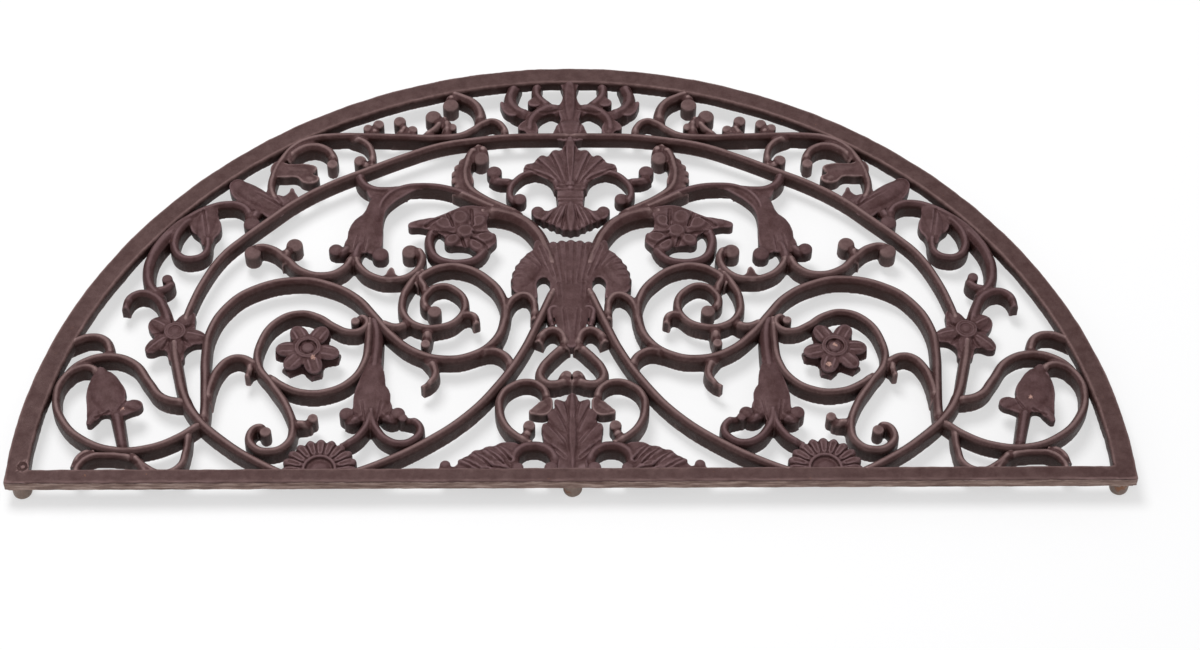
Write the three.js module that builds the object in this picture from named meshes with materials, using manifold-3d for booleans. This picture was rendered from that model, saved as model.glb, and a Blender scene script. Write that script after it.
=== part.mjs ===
import * as THREE from 'three';
import { mergeVertices } from 'three/addons/utils/BufferGeometryUtils.js';
import Module from 'manifold-3d';

const wasm = await Module();
wasm.setup();
const { Manifold } = wasm;

// A half-round cast iron door mat: a bow-shaped rim and a straight rail frame an openwork of
// scrolls, bells, rosettes and leaves, and six peg feet carry it. All lengths are millimetres.
// The straight edge faces -Y, the feet stand on Z = 0 and the middle of the mat's box is X = Y = 0.

// Driving sizes of the frame.
const MAT_RADIUS = 375;
const RIM_WIDTH = 15;
const RAIL_DEPTH = 11;
const FRAME_THICKNESS = 9;
const EDGE_CHAMFER = 1.2;
const ARCH_WIDTH = 6;
const ARCH_THICKNESS = 12;

// Driving sizes of the openwork: how deep the bars hang, and how wide their top faces are.
const SCROLL_DEPTH = 14;
const LEAF_DEPTH = 10;
const LEAF_DROP = 1;
const SWEEP_WIDTH = 6.2;
const RING_WIDTH = 6.6;
const SCROLL_WIDTH = 5.6;
const HOOK_WIDTH = 5;
const STEM_WIDTH = 7.5;
const TIP_WIDTH = 2;
const KNOB_RADIUS = 4.6;
const BUD_RADIUS = 3.6;

// Driving sizes of the flowers.
const ROSETTE_RADIUS = 21;
const ROSETTE_PETALS = 6;
const ROSETTE_HEART = 8.5;
const STAR_RADIUS = 20;
const STAR_NOTCH = 11;
const STAR_PETALS = 5;
const STAR_HEART = 8;
const DAISY_RADIUS = 23;
const DAISY_NOTCH = 17;
const DAISY_PETALS = 9;
const DAISY_HEART = 9;
const HEART_RISE = 1;

// Driving sizes of the feet.
const FOOT_HEIGHT = 12.5;
const FOOT_RADIUS = 6.5;
const FOOT_SOLE_RADIUS = 3.5;
const FOOT_INSET = 9.5;
const FOOT_SETBACK = 6.7;
const BACK_FOOT_SPREAD = 50;

// Neighbouring members meet with this gap.
const GAP = 0.3;

// How closely the facets follow the round shapes.
const CHORD_ERROR = 0.4;
const FINE_STEP = 1;
const RIM_STEPS = 60;
const ROUND_STEPS = 12;
const FOOT_STEPS = 16;

// Where the frame's inside corner lies in the drawing of the openwork.
const DRAWN_CORNER = [360, 11];

// Levels and places that follow from the driving sizes.
const FRAME_BOTTOM = FOOT_HEIGHT;
const FRAME_TOP = FRAME_BOTTOM + FRAME_THICKNESS;
const SCROLL_BOTTOM = FRAME_TOP - SCROLL_DEPTH;
const LEAF_TOP = FRAME_TOP - LEAF_DROP;
const LEAF_BOTTOM = LEAF_TOP - LEAF_DEPTH;
const RIM_INSIDE = MAT_RADIUS - RIM_WIDTH;
const FRONT_EDGE = -MAT_RADIUS / 2;

const SCROLL_LEVELS = [SCROLL_BOTTOM, FRAME_TOP];
const LEAF_LEVELS = [LEAF_BOTTOM, LEAF_TOP];
const HEART_LEVELS = [LEAF_BOTTOM, LEAF_TOP + HEART_RISE];

// Puts a drawn place on the mat: the drawing stretches with the rim's inside and the rail.
function place([x, y], side) {
  const [reach, rail] = DRAWN_CORNER;
  const across = RIM_INSIDE / reach;
  const along = (RIM_INSIDE - RAIL_DEPTH) / (reach - rail);
  return new THREE.Vector3(side * x * across, FRONT_EDGE + RAIL_DEPTH + (y - rail) * along, 0);
}

// How far the places between two ends stray from the straight line that joins them.
function bulge(places, first, last) {
  const chord = new THREE.Line3(places[first], places[last]);
  const foot = new THREE.Vector3();
  let most = 0;
  for (let i = first + 1; i < last; i += 1) {
    chord.closestPointToPoint(places[i], true, foot);
    most = Math.max(most, foot.distanceTo(places[i]));
  }
  return most;
}

// A smooth line through the places, as stations with a position, a heading and a share of the way.
function smoothLine(places, closed = false) {
  const curve = new THREE.CatmullRomCurve3(places, closed, 'centripetal');
  const steps = Math.ceil(curve.getLength() / FINE_STEP);
  const fine = curve.getSpacedPoints(steps);
  const kept = [0];
  for (let i = 2; i <= steps; i += 1) {
    if (bulge(fine, kept.at(-1), i) > CHORD_ERROR) kept.push(i - 1);
  }
  kept.push(steps);
  return kept.map((i) => {
    const before = fine[Math.max(i - 1, 0)];
    const after = fine[Math.min(i + 1, steps)];
    const heading = after.clone().sub(before).normalize();
    return { at: fine[i], heading, share: i / steps };
  });
}

// A solid between two levels over an outline.
function prism(outline, [bottom, top]) {
  const shape = new THREE.Shape(outline.map((p) => new THREE.Vector2(p.x, p.y)));
  const geometry = new THREE.ExtrudeGeometry(shape, { depth: top - bottom, bevelEnabled: false });
  geometry.translate(0, 0, bottom);
  return solidFrom(geometry);
}

function solidFrom(geometry) {
  geometry.deleteAttribute('normal');
  geometry.deleteAttribute('uv');
  const merged = mergeVertices(geometry, 1e-5);
  return new Manifold(new wasm.Mesh({
    numProp: 3,
    vertProperties: new Float32Array(merged.attributes.position.array),
    triVerts: new Uint32Array(merged.index.array),
  }));
}

function geometryFrom(solid) {
  const mesh = solid.getMesh();
  const geometry = new THREE.BufferGeometry();
  geometry.setAttribute('position', new THREE.BufferAttribute(new Float32Array(mesh.vertProperties), 3));
  geometry.setIndex(new THREE.BufferAttribute(new Uint32Array(mesh.triVerts), 1));
  geometry.computeVertexNormals();
  return geometry;
}

// Drawn members. Each is a function of the side of the mat and of how much wider it is made,
// so that the same drawing gives the member itself and the clearance cut in its neighbours.

// A bar along a smooth line, with its width tapering from one end to the other.
function bar(route, width, endWidth = width, levels = SCROLL_LEVELS) {
  return (side, grow) => {
    const stations = smoothLine(route.map((p) => place(p, side)));
    const left = [];
    const right = [];
    for (const { at, heading, share } of stations) {
      const half = THREE.MathUtils.lerp(width, endWidth, share) / 2 + grow;
      const across = new THREE.Vector3(-heading.y, heading.x, 0).multiplyScalar(half);
      const on = at.clone();
      if (share === 0) on.addScaledVector(heading, -grow);
      if (share === 1) on.addScaledVector(heading, grow);
      left.push(on.clone().add(across));
      right.push(on.clone().sub(across));
    }
    return [left.concat(right.reverse()), levels];
  };
}

// A leaf or body with a smooth closed outline.
function plate(edge, levels = LEAF_LEVELS) {
  return (side, grow) => {
    const stations = smoothLine(edge.map((p) => place(p, side)), true);
    stations.pop();
    const turning = Math.sign(area(stations.map(({ at }) => at)));
    const outline = stations.map(({ at, heading }) => {
      const outward = new THREE.Vector3(heading.y, -heading.x, 0).multiplyScalar(turning * grow);
      return at.clone().add(outward);
    });
    return [outline, levels];
  };
}

function area(outline) {
  return THREE.ShapeUtils.area(outline);
}

// A leaf or body across the middle of the mat, from the drawing of its right half.
function middlePlate(half) {
  const otherHalf = half.filter(([x]) => x > 0).map(([x, y]) => [-x, y]).reverse();
  const whole = plate([...half, ...otherHalf]);
  return (side, grow) => (side > 0 ? whole(side, grow) : null);
}

// A round knob at the end of a curl.
function knob(middle, radius, levels = SCROLL_LEVELS) {
  return flower(middle, radius, radius, ROUND_STEPS / 2, 0, levels);
}

// A flower: petals alternate between their tips and the notches between them.
function flower(middle, tip, notch, count, turn, levels = LEAF_LEVELS) {
  return (side, grow) => {
    const centre = place(middle, side);
    const outline = [];
    for (let i = 0; i < count * 2; i += 1) {
      const angle = THREE.MathUtils.degToRad(turn) + (i * Math.PI) / count;
      const reach = (i % 2 === 0 ? tip : notch) + grow;
      outline.push(new THREE.Vector3(side * Math.cos(angle), Math.sin(angle), 0)
        .multiplyScalar(reach).add(centre));
    }
    return [outline, levels];
  };
}

// Round petals on a ring round the heart of a flower.
function petals(middle, reach, count, turn, levels = LEAF_LEVELS) {
  const ring = [];
  for (let i = 0; i < count; i += 1) {
    const angle = THREE.MathUtils.degToRad(turn) + (i * 2 * Math.PI) / count;
    ring.push((side, grow) => {
      const centre = place(middle, side);
      const outline = [];
      for (const [along, across] of PETAL) {
        const r = reach * along + (along > 0.5 ? grow : 0);
        const w = reach * across + Math.sign(across) * grow;
        const x = r * Math.cos(angle) - w * Math.sin(angle);
        const y = r * Math.sin(angle) + w * Math.cos(angle);
        outline.push(new THREE.Vector3(side * x, y, 0).add(centre));
      }
      return [outline, levels];
    });
  }
  return ring;
}

// Half of a petal as shares of its reach: along it, and across it.
const PETAL_EDGE = [[0.1, 0.1], [0.45, 0.2], [0.75, 0.27], [0.93, 0.2], [1, 0.07]];
const PETAL = [...PETAL_EDGE, ...PETAL_EDGE.map(([along, across]) => [along, -across]).reverse()];

// The frame.

// A bar of the rim's section, with its top edges chamfered, bent round the half circle.
function outerRim() {
  const middle = MAT_RADIUS - RIM_WIDTH / 2;
  return ring(middle, RIM_WIDTH, 0, FRAME_BOTTOM, FRAME_TOP, EDGE_CHAMFER);
}

function rimClearance() {
  const width = RIM_WIDTH + 2 * GAP;
  return ring(MAT_RADIUS - RIM_WIDTH / 2, width, GAP, SCROLL_BOTTOM - GAP, FRAME_TOP + GAP, 0);
}

function ring(middle, width, past, bottom, top, chamfer) {
  const rows = [];
  const section = [
    [-width / 2, bottom], [width / 2, bottom], [width / 2, top - chamfer],
    [width / 2 - chamfer, top], [-width / 2 + chamfer, top], [-width / 2, top - chamfer],
  ].filter((_, i) => chamfer > 0 || (i !== 3 && i !== 4));
  for (let i = 0; i <= RIM_STEPS; i += 1) {
    const angle = (i * Math.PI) / RIM_STEPS;
    rows.push(section.map(([across, z]) => new THREE.Vector3(
      (middle + across) * Math.cos(angle),
      FRONT_EDGE + (middle + across) * Math.sin(angle) - (i === 0 || i === RIM_STEPS ? past : 0),
      z,
    )));
  }
  return sweep(rows);
}

// A closed skin over rows of like sections, with a flat end at the first and the last.
function sweep(rows) {
  const count = rows[0].length;
  const triangles = [];
  for (let i = 0; i + 1 < rows.length; i += 1) {
    for (let k = 0; k < count; k += 1) {
      const a = i * count + k;
      const b = i * count + ((k + 1) % count);
      triangles.push(a, a + count, b + count, a, b + count, b);
    }
  }
  const end = (rows.length - 1) * count;
  for (let k = 1; k + 1 < count; k += 1) {
    triangles.push(0, k, k + 1);
    triangles.push(end, end + k + 1, end + k);
  }
  const geometry = new THREE.BufferGeometry().setFromPoints(rows.flat());
  geometry.setIndex(triangles);
  return solidFrom(geometry);
}

// The straight rail between the two ends of the rim.
function baseRail() {
  return railBetween(RIM_INSIDE - GAP, 0, FRAME_BOTTOM, FRAME_TOP, EDGE_CHAMFER);
}

function railClearance() {
  return railBetween(MAT_RADIUS, GAP, SCROLL_BOTTOM - GAP, FRAME_TOP + GAP, 0);
}

function railBetween(reach, past, bottom, top, chamfer) {
  const front = FRONT_EDGE;
  const back = FRONT_EDGE + RAIL_DEPTH + past;
  const section = [
    [front, bottom], [back, bottom], [back, top - chamfer],
    [back - chamfer, top], [front + chamfer, top], [front, top - chamfer],
  ].filter((_, i) => chamfer > 0 || (i !== 3 && i !== 4));
  const row = (x) => section.map(([y, z]) => new THREE.Vector3(x, y, z));
  return sweep([row(reach), row(-reach)]);
}

// The openwork, drawn on its right half from the middle of the straight edge.

const innerArch = [
  bar([[-5, 307], [20, 307], [45, 306.3], [70, 303.5], [96, 298.5], [120, 289], [150, 274], [172, 262.5],
    [196, 246], [214, 229], [232, 211], [245, 196], [257, 172], [264, 150], [267, 138]],
  ARCH_WIDTH, ARCH_WIDTH, [FRAME_TOP - ARCH_THICKNESS, FRAME_TOP]),
];

const starFlower = [
  flower([273, 127], STAR_RADIUS, STAR_NOTCH, STAR_PETALS, 50),
  knob([273, 127], STAR_HEART, HEART_LEVELS),
  bar([[276, 133], [283, 147], [290, 157], [298, 162], [306, 158.5], [309.5, 149]], STEM_WIDTH, TIP_WIDTH),
  bar([[290, 157], [282, 162], [279.5, 168], [282.5, 174]], HOOK_WIDTH),
  knob([282.5, 173.5], BUD_RADIUS),
  bar([[287, 162], [294, 171], [296.5, 182], [294, 195], [289, 206]], SCROLL_WIDTH),
];

const shell = [
  middlePlate([[0, 208], [12, 208], [24, 203], [33, 195], [38.5, 186], [41, 176], [42, 166], [36, 161.5],
    [30, 165], [27, 174], [20, 178], [15.5, 170], [17, 156], [16, 146], [9, 140], [6, 128], [4, 114], [0, 112]]),
];

const sweepBar = [
  bar([[14, 160], [22.5, 137], [33.5, 110], [50, 81.5], [71, 55.5], [100, 32.5], [130, 15.5], [155, 5]],
    SWEEP_WIDTH),
];

const ringScroll = [
  bar([[248, 44], [247.5, 60], [249, 84], [250.5, 108], [249, 128], [238.5, 150.5], [222, 165], [190, 173.3],
    [168, 168.5], [149.5, 157], [137, 141.5], [124.5, 124.5], [108, 110], [88, 102.5], [68, 106.5],
    [53.5, 118.5], [46.5, 137], [48, 157], [59, 174], [76, 184.5], [90, 184.5], [102, 177.5]], RING_WIDTH),
  bar([[49, 122], [43.5, 138], [42, 150], [36, 159], [29.5, 154], [27, 142]], HOOK_WIDTH),
  bar([[64, 108], [55, 110], [47.5, 106], [42, 95]], HOOK_WIDTH),
  bar([[96, 103], [93, 93], [95, 84], [100, 77]], HOOK_WIDTH, TIP_WIDTH),
];

const stemSweep = [
  bar([[188, 6], [208, 17], [232, 34], [254, 56.5], [262.5, 73], [268, 93], [272, 112], [273, 124]],
    SCROLL_WIDTH, STEM_WIDTH),
];

const rosetteScroll = [
  bar([[148.5, 136], [143.5, 134.5], [146, 128.5], [153, 127], [164, 132.5], [175, 140], [188, 143.3],
    [203, 136.5], [213.5, 118], [214, 98.5], [204, 82.5], [192, 62], [187.5, 44], [193, 30], [202.5, 26.5],
    [213, 31], [215.5, 41], [208, 45.5], [205, 42.5]], SCROLL_WIDTH),
  knob([205.5, 42.5], BUD_RADIUS),
  knob([149, 135.5], BUD_RADIUS),
  bar([[189, 49], [181, 51.5], [174, 53]], HOOK_WIDTH),
  knob([173, 54], BUD_RADIUS),
];

const rosetteRing = [
  bar([[140, 140], [139.8, 118], [142, 100], [150, 85.5], [164, 76.5], [182, 75], [198, 82], [207, 90]],
    SCROLL_WIDTH),
];

const lowerBell = [
  bar([[138, 142], [133.5, 128], [133, 112], [135, 90]], HOOK_WIDTH, STEM_WIDTH),
  plate([[131, 96], [129.5, 82], [125, 71], [121.5, 60], [126, 53], [135, 50], [143, 53], [147.5, 60],
    [145.5, 71], [142.5, 82], [139, 96]]),
  knob([119, 56], KNOB_RADIUS),
  bar([[141, 56], [147, 53], [151.5, 57]], HOOK_WIDTH),
  knob([151.5, 58], BUD_RADIUS),
  bar([[134, 54], [131, 44], [124.5, 34.5], [114.5, 31], [105.5, 35], [102, 43.5], [107, 50.5], [116, 52], [126, 56]],
    HOOK_WIDTH),
  bar([[137, 52], [142, 38], [150.5, 31], [157, 33.5], [161, 40]], HOOK_WIDTH, TIP_WIDTH),
];

const tulipRing = [
  bar([[262, 67], [277, 71.5], [287, 84], [299, 100.5], [317, 106.5], [334, 101], [345, 89]], SCROLL_WIDTH),
  bar([[248, 51], [264, 38], [283, 29.5], [305, 28], [326, 36], [342, 52], [348.5, 72], [345, 88], [336, 96.5],
    [328, 95.5], [323, 90]], SCROLL_WIDTH),
  bar([[316, 104], [316.5, 113], [321, 121], [329, 123.5], [338, 121], [346, 117]], SCROLL_WIDTH),
];

const tulip = [
  plate([[321, 95], [312, 90], [305, 80], [301.5, 69], [294, 66.5], [290, 61], [296, 55], [306, 53], [315, 50.5],
    [320, 51.5], [325.5, 45], [324.5, 54], [328, 69], [326, 84]]),
  bar([[307, 60], [303, 43], [298, 27]], STEM_WIDTH, SCROLL_WIDTH),
];

const cornerScroll = [
  bar([[257, 44], [257.5, 26], [261, 14], [272, 9], [283, 14], [294, 25]], HOOK_WIDTH),
  bar([[291, 22], [285, 14], [280, 5]], HOOK_WIDTH),
  bar([[290, 21], [298, 22.5], [310, 23.5], [320, 22.5], [327.5, 15], [328.5, 5]], HOOK_WIDTH),
];

const innerHook = [
  bar([[247, 70], [244.5, 85], [240.5, 96], [234, 103.5], [227, 105], [221, 101.5], [219, 95], [221.5, 89]],
    SCROLL_WIDTH),
];

const rosette = [
  ...petals([181, 112.5], ROSETTE_RADIUS, ROSETTE_PETALS, 0),
  knob([181, 112.5], ROSETTE_HEART, HEART_LEVELS),
  bar([[175, 122], [167, 138]], HOOK_WIDTH, HOOK_WIDTH, LEAF_LEVELS),
];

const halfDaisy = [
  flower([168, DRAWN_CORNER[1]], DAISY_RADIUS, DAISY_NOTCH, DAISY_PETALS * 2, 0),
  knob([168, DRAWN_CORNER[1]], DAISY_HEART, HEART_LEVELS),
];

const spiral = [
  bar([[104, 180], [113, 167], [117, 152.5], [114, 139], [104, 130], [90, 129], [77, 136], [72.5, 150],
    [79, 161.5], [91, 165.5], [101, 158], [101.5, 147], [95, 142], [91, 143]], SCROLL_WIDTH),
  knob([91, 143], BUD_RADIUS),
  bar([[80, 134], [72, 136], [63, 134]], HOOK_WIDTH, TIP_WIDTH),
  bar([[100, 131], [101.5, 122], [101.5, 113]], HOOK_WIDTH, TIP_WIDTH),
  bar([[110, 134], [120, 130.5], [133, 135]], HOOK_WIDTH),
];

const crossScroll = [
  bar([[153, 197], [148, 184.5], [138, 176], [124, 173.5], [112, 179], [105.5, 190], [107, 200], [113, 202]],
    SCROLL_WIDTH),
  knob([113, 201.5], KNOB_RADIUS),
  bar([[153, 197], [160, 183.5], [173, 177.5], [190, 182], [203, 194], [216, 201], [226, 198]], SCROLL_WIDTH),
  knob([227, 197], KNOB_RADIUS),
  bar([[198, 188], [197, 205]], HOOK_WIDTH),
  knob([197, 206], KNOB_RADIUS),
  bar([[124, 174], [129, 182]], HOOK_WIDTH, TIP_WIDTH),
];

const upperBell = [
  plate([[137, 247], [134.8, 230], [135.5, 206], [131, 203], [131, 194], [138, 190], [146, 196], [152, 192],
    [158, 196], [166, 192], [170, 198], [168, 206], [162, 206], [157, 220], [150, 235], [144, 246]]),
  bar([[140, 240], [139, 258]], STEM_WIDTH),
  bar([[72, 247], [85, 257], [107, 261], [125, 258], [140, 257], [147, 262], [151, 274]], SCROLL_WIDTH),
];

const stalk = [
  bar([[70, 304], [74, 288], [76, 274], [75, 263], [66, 252], [50, 242], [36, 233]], STEM_WIDTH),
  knob([67, 284], KNOB_RADIUS),
  bar([[20, 204], [25, 218], [34, 228], [48, 236.5], [62, 240], [78, 238]], RING_WIDTH),
];

const upperRosette = [
  plate([[62, 237], [72, 240], [84, 237], [98, 231], [110, 228], [110, 222], [103, 216], [104, 204], [103, 190],
    [92, 187], [88, 199], [72, 199], [66, 187], [62, 197], [56, 208], [58, 217], [63, 226]]),
];

const upperPalmette = [
  bar([[0, 310], [0, 285]], STEM_WIDTH),
  middlePlate([[0, 293], [8, 292], [14, 288], [20, 286], [24, 281], [30, 278], [30, 271], [20, 268],
    [12, 262], [9, 252], [8, 240], [16, 234], [21, 239], [26, 236], [20, 229], [10, 222], [5, 214], [0, 211]]),
  bar([[7, 256], [11, 265], [20, 270.5], [30, 269.5], [39, 263], [43, 253], [40, 246]], HOOK_WIDTH),
  knob([38, 248], KNOB_RADIUS),
  bar([[40, 262], [50, 264], [52, 272]], HOOK_WIDTH),
  knob([52, 270], BUD_RADIUS),
];

const crown = [
  middlePlate([[5.5, 367], [5, 350], [8, 338], [7.5, 325], [10, 316], [12.5, 306]]),
  bar([[4, 333], [13, 337], [21, 334], [27.5, 326.5], [29.5, 317], [27, 306]], STEM_WIDTH),
  bar([[12, 337], [20, 343], [24.5, 351], [23, 364]], SCROLL_WIDTH),
  bar([[26, 330], [34, 332], [41, 337], [44, 346], [42, 355], [39, 364]], STEM_WIDTH),
  knob([32.5, 317.5], KNOB_RADIUS),
];

const borderScroll = [
  bar([[47.5, 308], [49, 317], [55, 323], [63, 322], [71, 315], [80, 309.5], [96, 307.5], [120, 308],
    [150, 309], [172, 309], [188, 306.5], [200, 299.5], [209, 286], [214, 272], [215, 257], [210, 244]],
  SCROLL_WIDTH),
  bar([[158, 309], [148, 301], [144, 290], [143.5, 276]], HOOK_WIDTH),
  bar([[143, 280], [149, 280], [153, 284]], HOOK_WIDTH),
  knob([153, 284.5], BUD_RADIUS),
  bar([[142, 308], [142, 319]], SCROLL_WIDTH),
  knob([141, 320], BUD_RADIUS),
  knob([117, 312], BUD_RADIUS),
  bar([[171.5, 277], [173, 289], [179, 297], [188, 299.5], [197, 297], [206, 288]], TIP_WIDTH, HOOK_WIDTH),
  bar([[213, 275], [191, 274.5]], STEM_WIDTH),
  bar([[66, 322], [66, 333], [71, 342], [79, 348], [92, 354]], SCROLL_WIDTH),
  bar([[84, 351], [88, 338]], HOOK_WIDTH),
  knob([88, 337], KNOB_RADIUS),
  bar([[94, 308], [98, 326]], HOOK_WIDTH),
  knob([98.5, 327], KNOB_RADIUS),
  bar([[122, 308], [124.5, 321]], HOOK_WIDTH),
  knob([124.5, 321.5], BUD_RADIUS),
];

const borderLoop = [
  plate([[203, 238], [208, 252], [214, 256], [222, 258], [233, 265], [240, 269], [246, 266], [241, 254],
    [238, 246], [228, 240], [220, 234], [212, 230]]),
  bar([[226, 222], [226, 234], [234, 241.5], [246, 242.5], [260, 239], [272, 231], [283, 220.5], [290, 210]],
    SCROLL_WIDTH),
  knob([226, 223], KNOB_RADIUS),
  bar([[209, 249], [202, 251], [198, 257.5]], HOOK_WIDTH, TIP_WIDTH),
  plate([[256, 239], [251, 228], [251, 218], [255, 210], [258, 201], [261, 207], [268, 218], [270, 227],
    [266, 236]]),
  bar([[258, 206], [256.5, 196], [262, 189], [270, 188], [278, 192], [281, 202], [279, 214], [276, 226]],
    HOOK_WIDTH),
];

const heartScroll = [
  bar([[2, 118], [13, 104], [20, 94], [20, 86], [13, 83], [6, 86], [5.5, 91]], HOOK_WIDTH),
  bar([[26, 122], [19, 129], [10, 128], [5, 118], [4, 112]], HOOK_WIDTH),
];

const bottomAcanthus = [
  middlePlate([[0, 74], [5, 69], [9, 67], [11, 61], [16, 58], [17, 49], [18.5, 42], [20, 34], [14, 27],
    [9, 16], [9, 5]]),
];

const footScroll = [
  bar([[28, 31], [38, 37.5], [45.5, 47], [49, 59], [48, 70.5], [41, 79.5], [30, 83], [21, 78.5], [17.5, 70],
    [19, 63]], SCROLL_WIDTH),
  bar([[19, 64], [28, 57.5]], HOOK_WIDTH, TIP_WIDTH),
  bar([[33, 34], [29, 46]], HOOK_WIDTH),
  knob([29, 46.5], BUD_RADIUS),
];

const footLeaf = [
  plate([[36, 6], [35, 27], [42, 33], [52, 30.5], [61, 27.5], [69, 23], [74.5, 16.5], [80, 14.5], [84, 20],
    [87.5, 15], [88.5, 6]]),
  bar([[40, 27], [31, 29.5], [22, 28.5], [14, 22.5], [11, 12]], HOOK_WIDTH),
];

// The order of the members: an earlier one runs through, and a later one is cut to meet it.
const CENTRE = 0;
const PAIR = 1;
const MEMBERS = [
  ['inner_arch', innerArch, CENTRE],
  ['shell', shell, CENTRE],
  ['star_flower', starFlower, PAIR],
  ['sweep_bar', sweepBar, PAIR],
  ['stem_sweep', stemSweep, PAIR],
  ['ring_scroll', ringScroll, PAIR],
  ['rosette_scroll', rosetteScroll, PAIR],
  ['lower_bell', lowerBell, PAIR],
  ['rosette_ring', rosetteRing, PAIR],
  ['tulip_ring', tulipRing, PAIR],
  ['tulip', tulip, PAIR],
  ['corner_scroll', cornerScroll, PAIR],
  ['inner_hook', innerHook, PAIR],
  ['rosette', rosette, PAIR],
  ['half_daisy', halfDaisy, PAIR],
  ['cross_scroll', crossScroll, PAIR],
  ['spiral', spiral, PAIR],
  ['upper_bell', upperBell, PAIR],
  ['upper_palmette', upperPalmette, CENTRE],
  ['stalk', stalk, PAIR],
  ['upper_rosette', upperRosette, PAIR],
  ['crown', crown, CENTRE],
  ['border_loop', borderLoop, PAIR],
  ['border_scroll', borderScroll, PAIR],
  ['bottom_acanthus', bottomAcanthus, CENTRE],
  ['heart_scroll', heartScroll, PAIR],
  ['foot_scroll', footScroll, PAIR],
  ['foot_leaf', footLeaf, PAIR],
];

// What a member draws on the given sides, made wider by the given growth.
function drawn(drawing, sides, grow) {
  return sides.flatMap((side) => drawing.map((shape) => shape(side, grow))).filter(Boolean);
}

// The solid of a member on the given sides.
function memberSolid(drawing, sides) {
  return Manifold.union(drawn(drawing, sides, 0).map(([outline, levels]) => prism(outline, levels)));
}

// The room that a member takes in its neighbours: a gap wider all round, and through their height.
function memberClearance(drawing, sides) {
  const levels = [SCROLL_BOTTOM - GAP, FRAME_TOP + GAP];
  return Manifold.union(drawn(drawing, sides, GAP).map(([outline]) => prism(outline, levels)));
}

function overlaps(a, b) {
  return [0, 1].every((axis) => a.min[axis] < b.max[axis] && b.min[axis] < a.max[axis]);
}

// Cuts a member to meet what is already there. What is left past a crossing neighbour falls away,
// such as the half of the daisy that the rail hides.
function cutToMeet(solid, neighbours) {
  const box = solid.boundingBox();
  const near = neighbours.filter((clearance) => overlaps(box, clearance.boundingBox()));
  const left = Manifold.difference([solid, ...near]).decompose();
  return left.reduce((most, piece) => (piece.volume() > most.volume() ? piece : most));
}

// The feet.
function footPlaces() {
  const middle = MAT_RADIUS - FOOT_SETBACK;
  const backFoot = (degrees) => {
    const angle = THREE.MathUtils.degToRad(degrees);
    return [middle * Math.cos(angle), FRONT_EDGE + middle * Math.sin(angle)];
  };
  const corner = MAT_RADIUS - FOOT_INSET;
  const front = FRONT_EDGE + FOOT_SETBACK;
  return {
    foot_front_left: [-corner, front],
    foot_front_middle: [0, front],
    foot_front_right: [corner, front],
    foot_back_left: backFoot(90 + BACK_FOOT_SPREAD),
    foot_back_middle: backFoot(90),
    foot_back_right: backFoot(90 - BACK_FOOT_SPREAD),
  };
}

// A round peg with a domed end and a small flat sole.
function footGeometry(grow = 0) {
  const top = FOOT_HEIGHT - GAP;
  const radius = FOOT_RADIUS + grow;
  const domed = Math.min(top / 2, radius - FOOT_SOLE_RADIUS);
  const profile = [new THREE.Vector2(0, 0), new THREE.Vector2(FOOT_SOLE_RADIUS, 0)];
  for (const share of [0.35, 0.7, 1]) {
    const turn = (share * Math.PI) / 2;
    const out = FOOT_SOLE_RADIUS + (radius - FOOT_SOLE_RADIUS) * Math.sin(turn);
    profile.push(new THREE.Vector2(out, domed * (1 - Math.cos(turn))));
  }
  profile.push(new THREE.Vector2(radius, top + grow), new THREE.Vector2(0, top + grow));
  const geometry = new THREE.LatheGeometry(profile, FOOT_STEPS);
  geometry.rotateX(Math.PI / 2);
  return geometry;
}

// Materials.
function paintedIron(colour) {
  return new THREE.MeshStandardMaterial({ color: colour, roughness: 0.55, metalness: 0.25 });
}

function bareIron() {
  return new THREE.MeshStandardMaterial({ color: 0x6a4f40, roughness: 0.8, metalness: 0.3 });
}

const FRAME_COLOUR = 0x5a4a47;
const SCROLL_COLOUR = 0x544441;
const FLOWER_COLOUR = 0x5f4e4b;

function named(name, geometry, material) {
  const mesh = new THREE.Mesh(geometry, material);
  mesh.name = name;
  return mesh;
}

function addFeet(mat) {
  const clearances = [];
  for (const [name, [x, y]] of Object.entries(footPlaces())) {
    const foot = named(name, geometryFrom(solidFrom(footGeometry())), bareIron());
    foot.position.set(x, y, 0);
    mat.add(foot);
    clearances.push(solidFrom(footGeometry(GAP)).translate([x, y, 0]));
  }
  return clearances;
}

function addOpenwork(mat, clearances) {
  const taken = [...clearances];
  for (const [name, drawing, kind] of MEMBERS) {
    const solids = kind === CENTRE ? [[name, [1, -1]]] : [[`left_${name}`, [-1]], [`right_${name}`, [1]]];
    const colour = drawing.some((shape) => shape(1, 0)[1] === LEAF_LEVELS) ? FLOWER_COLOUR : SCROLL_COLOUR;
    for (const [nodeName, sides] of solids) {
      const solid = cutToMeet(memberSolid(drawing, sides), taken);
      mat.add(named(nodeName, geometryFrom(solid), paintedIron(colour)));
    }
    taken.push(...solids.map(([, sides]) => memberClearance(drawing, sides)));
  }
}

const mat = new THREE.Group();
mat.name = 'cast_iron_door_mat';
mat.add(named('outer_rim', geometryFrom(outerRim()), paintedIron(FRAME_COLOUR)));
mat.add(named('base_rail', geometryFrom(baseRail()), paintedIron(FRAME_COLOUR)));
const footClearances = addFeet(mat);
addOpenwork(mat, [rimClearance(), railClearance(), ...footClearances]);

export default mat;
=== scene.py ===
"""The looks of a half-round cast iron door mat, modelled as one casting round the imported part."""

from math import cos, hypot, radians, sin

import bpy
import numpy as np
from mathutils import Matrix, Vector


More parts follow.
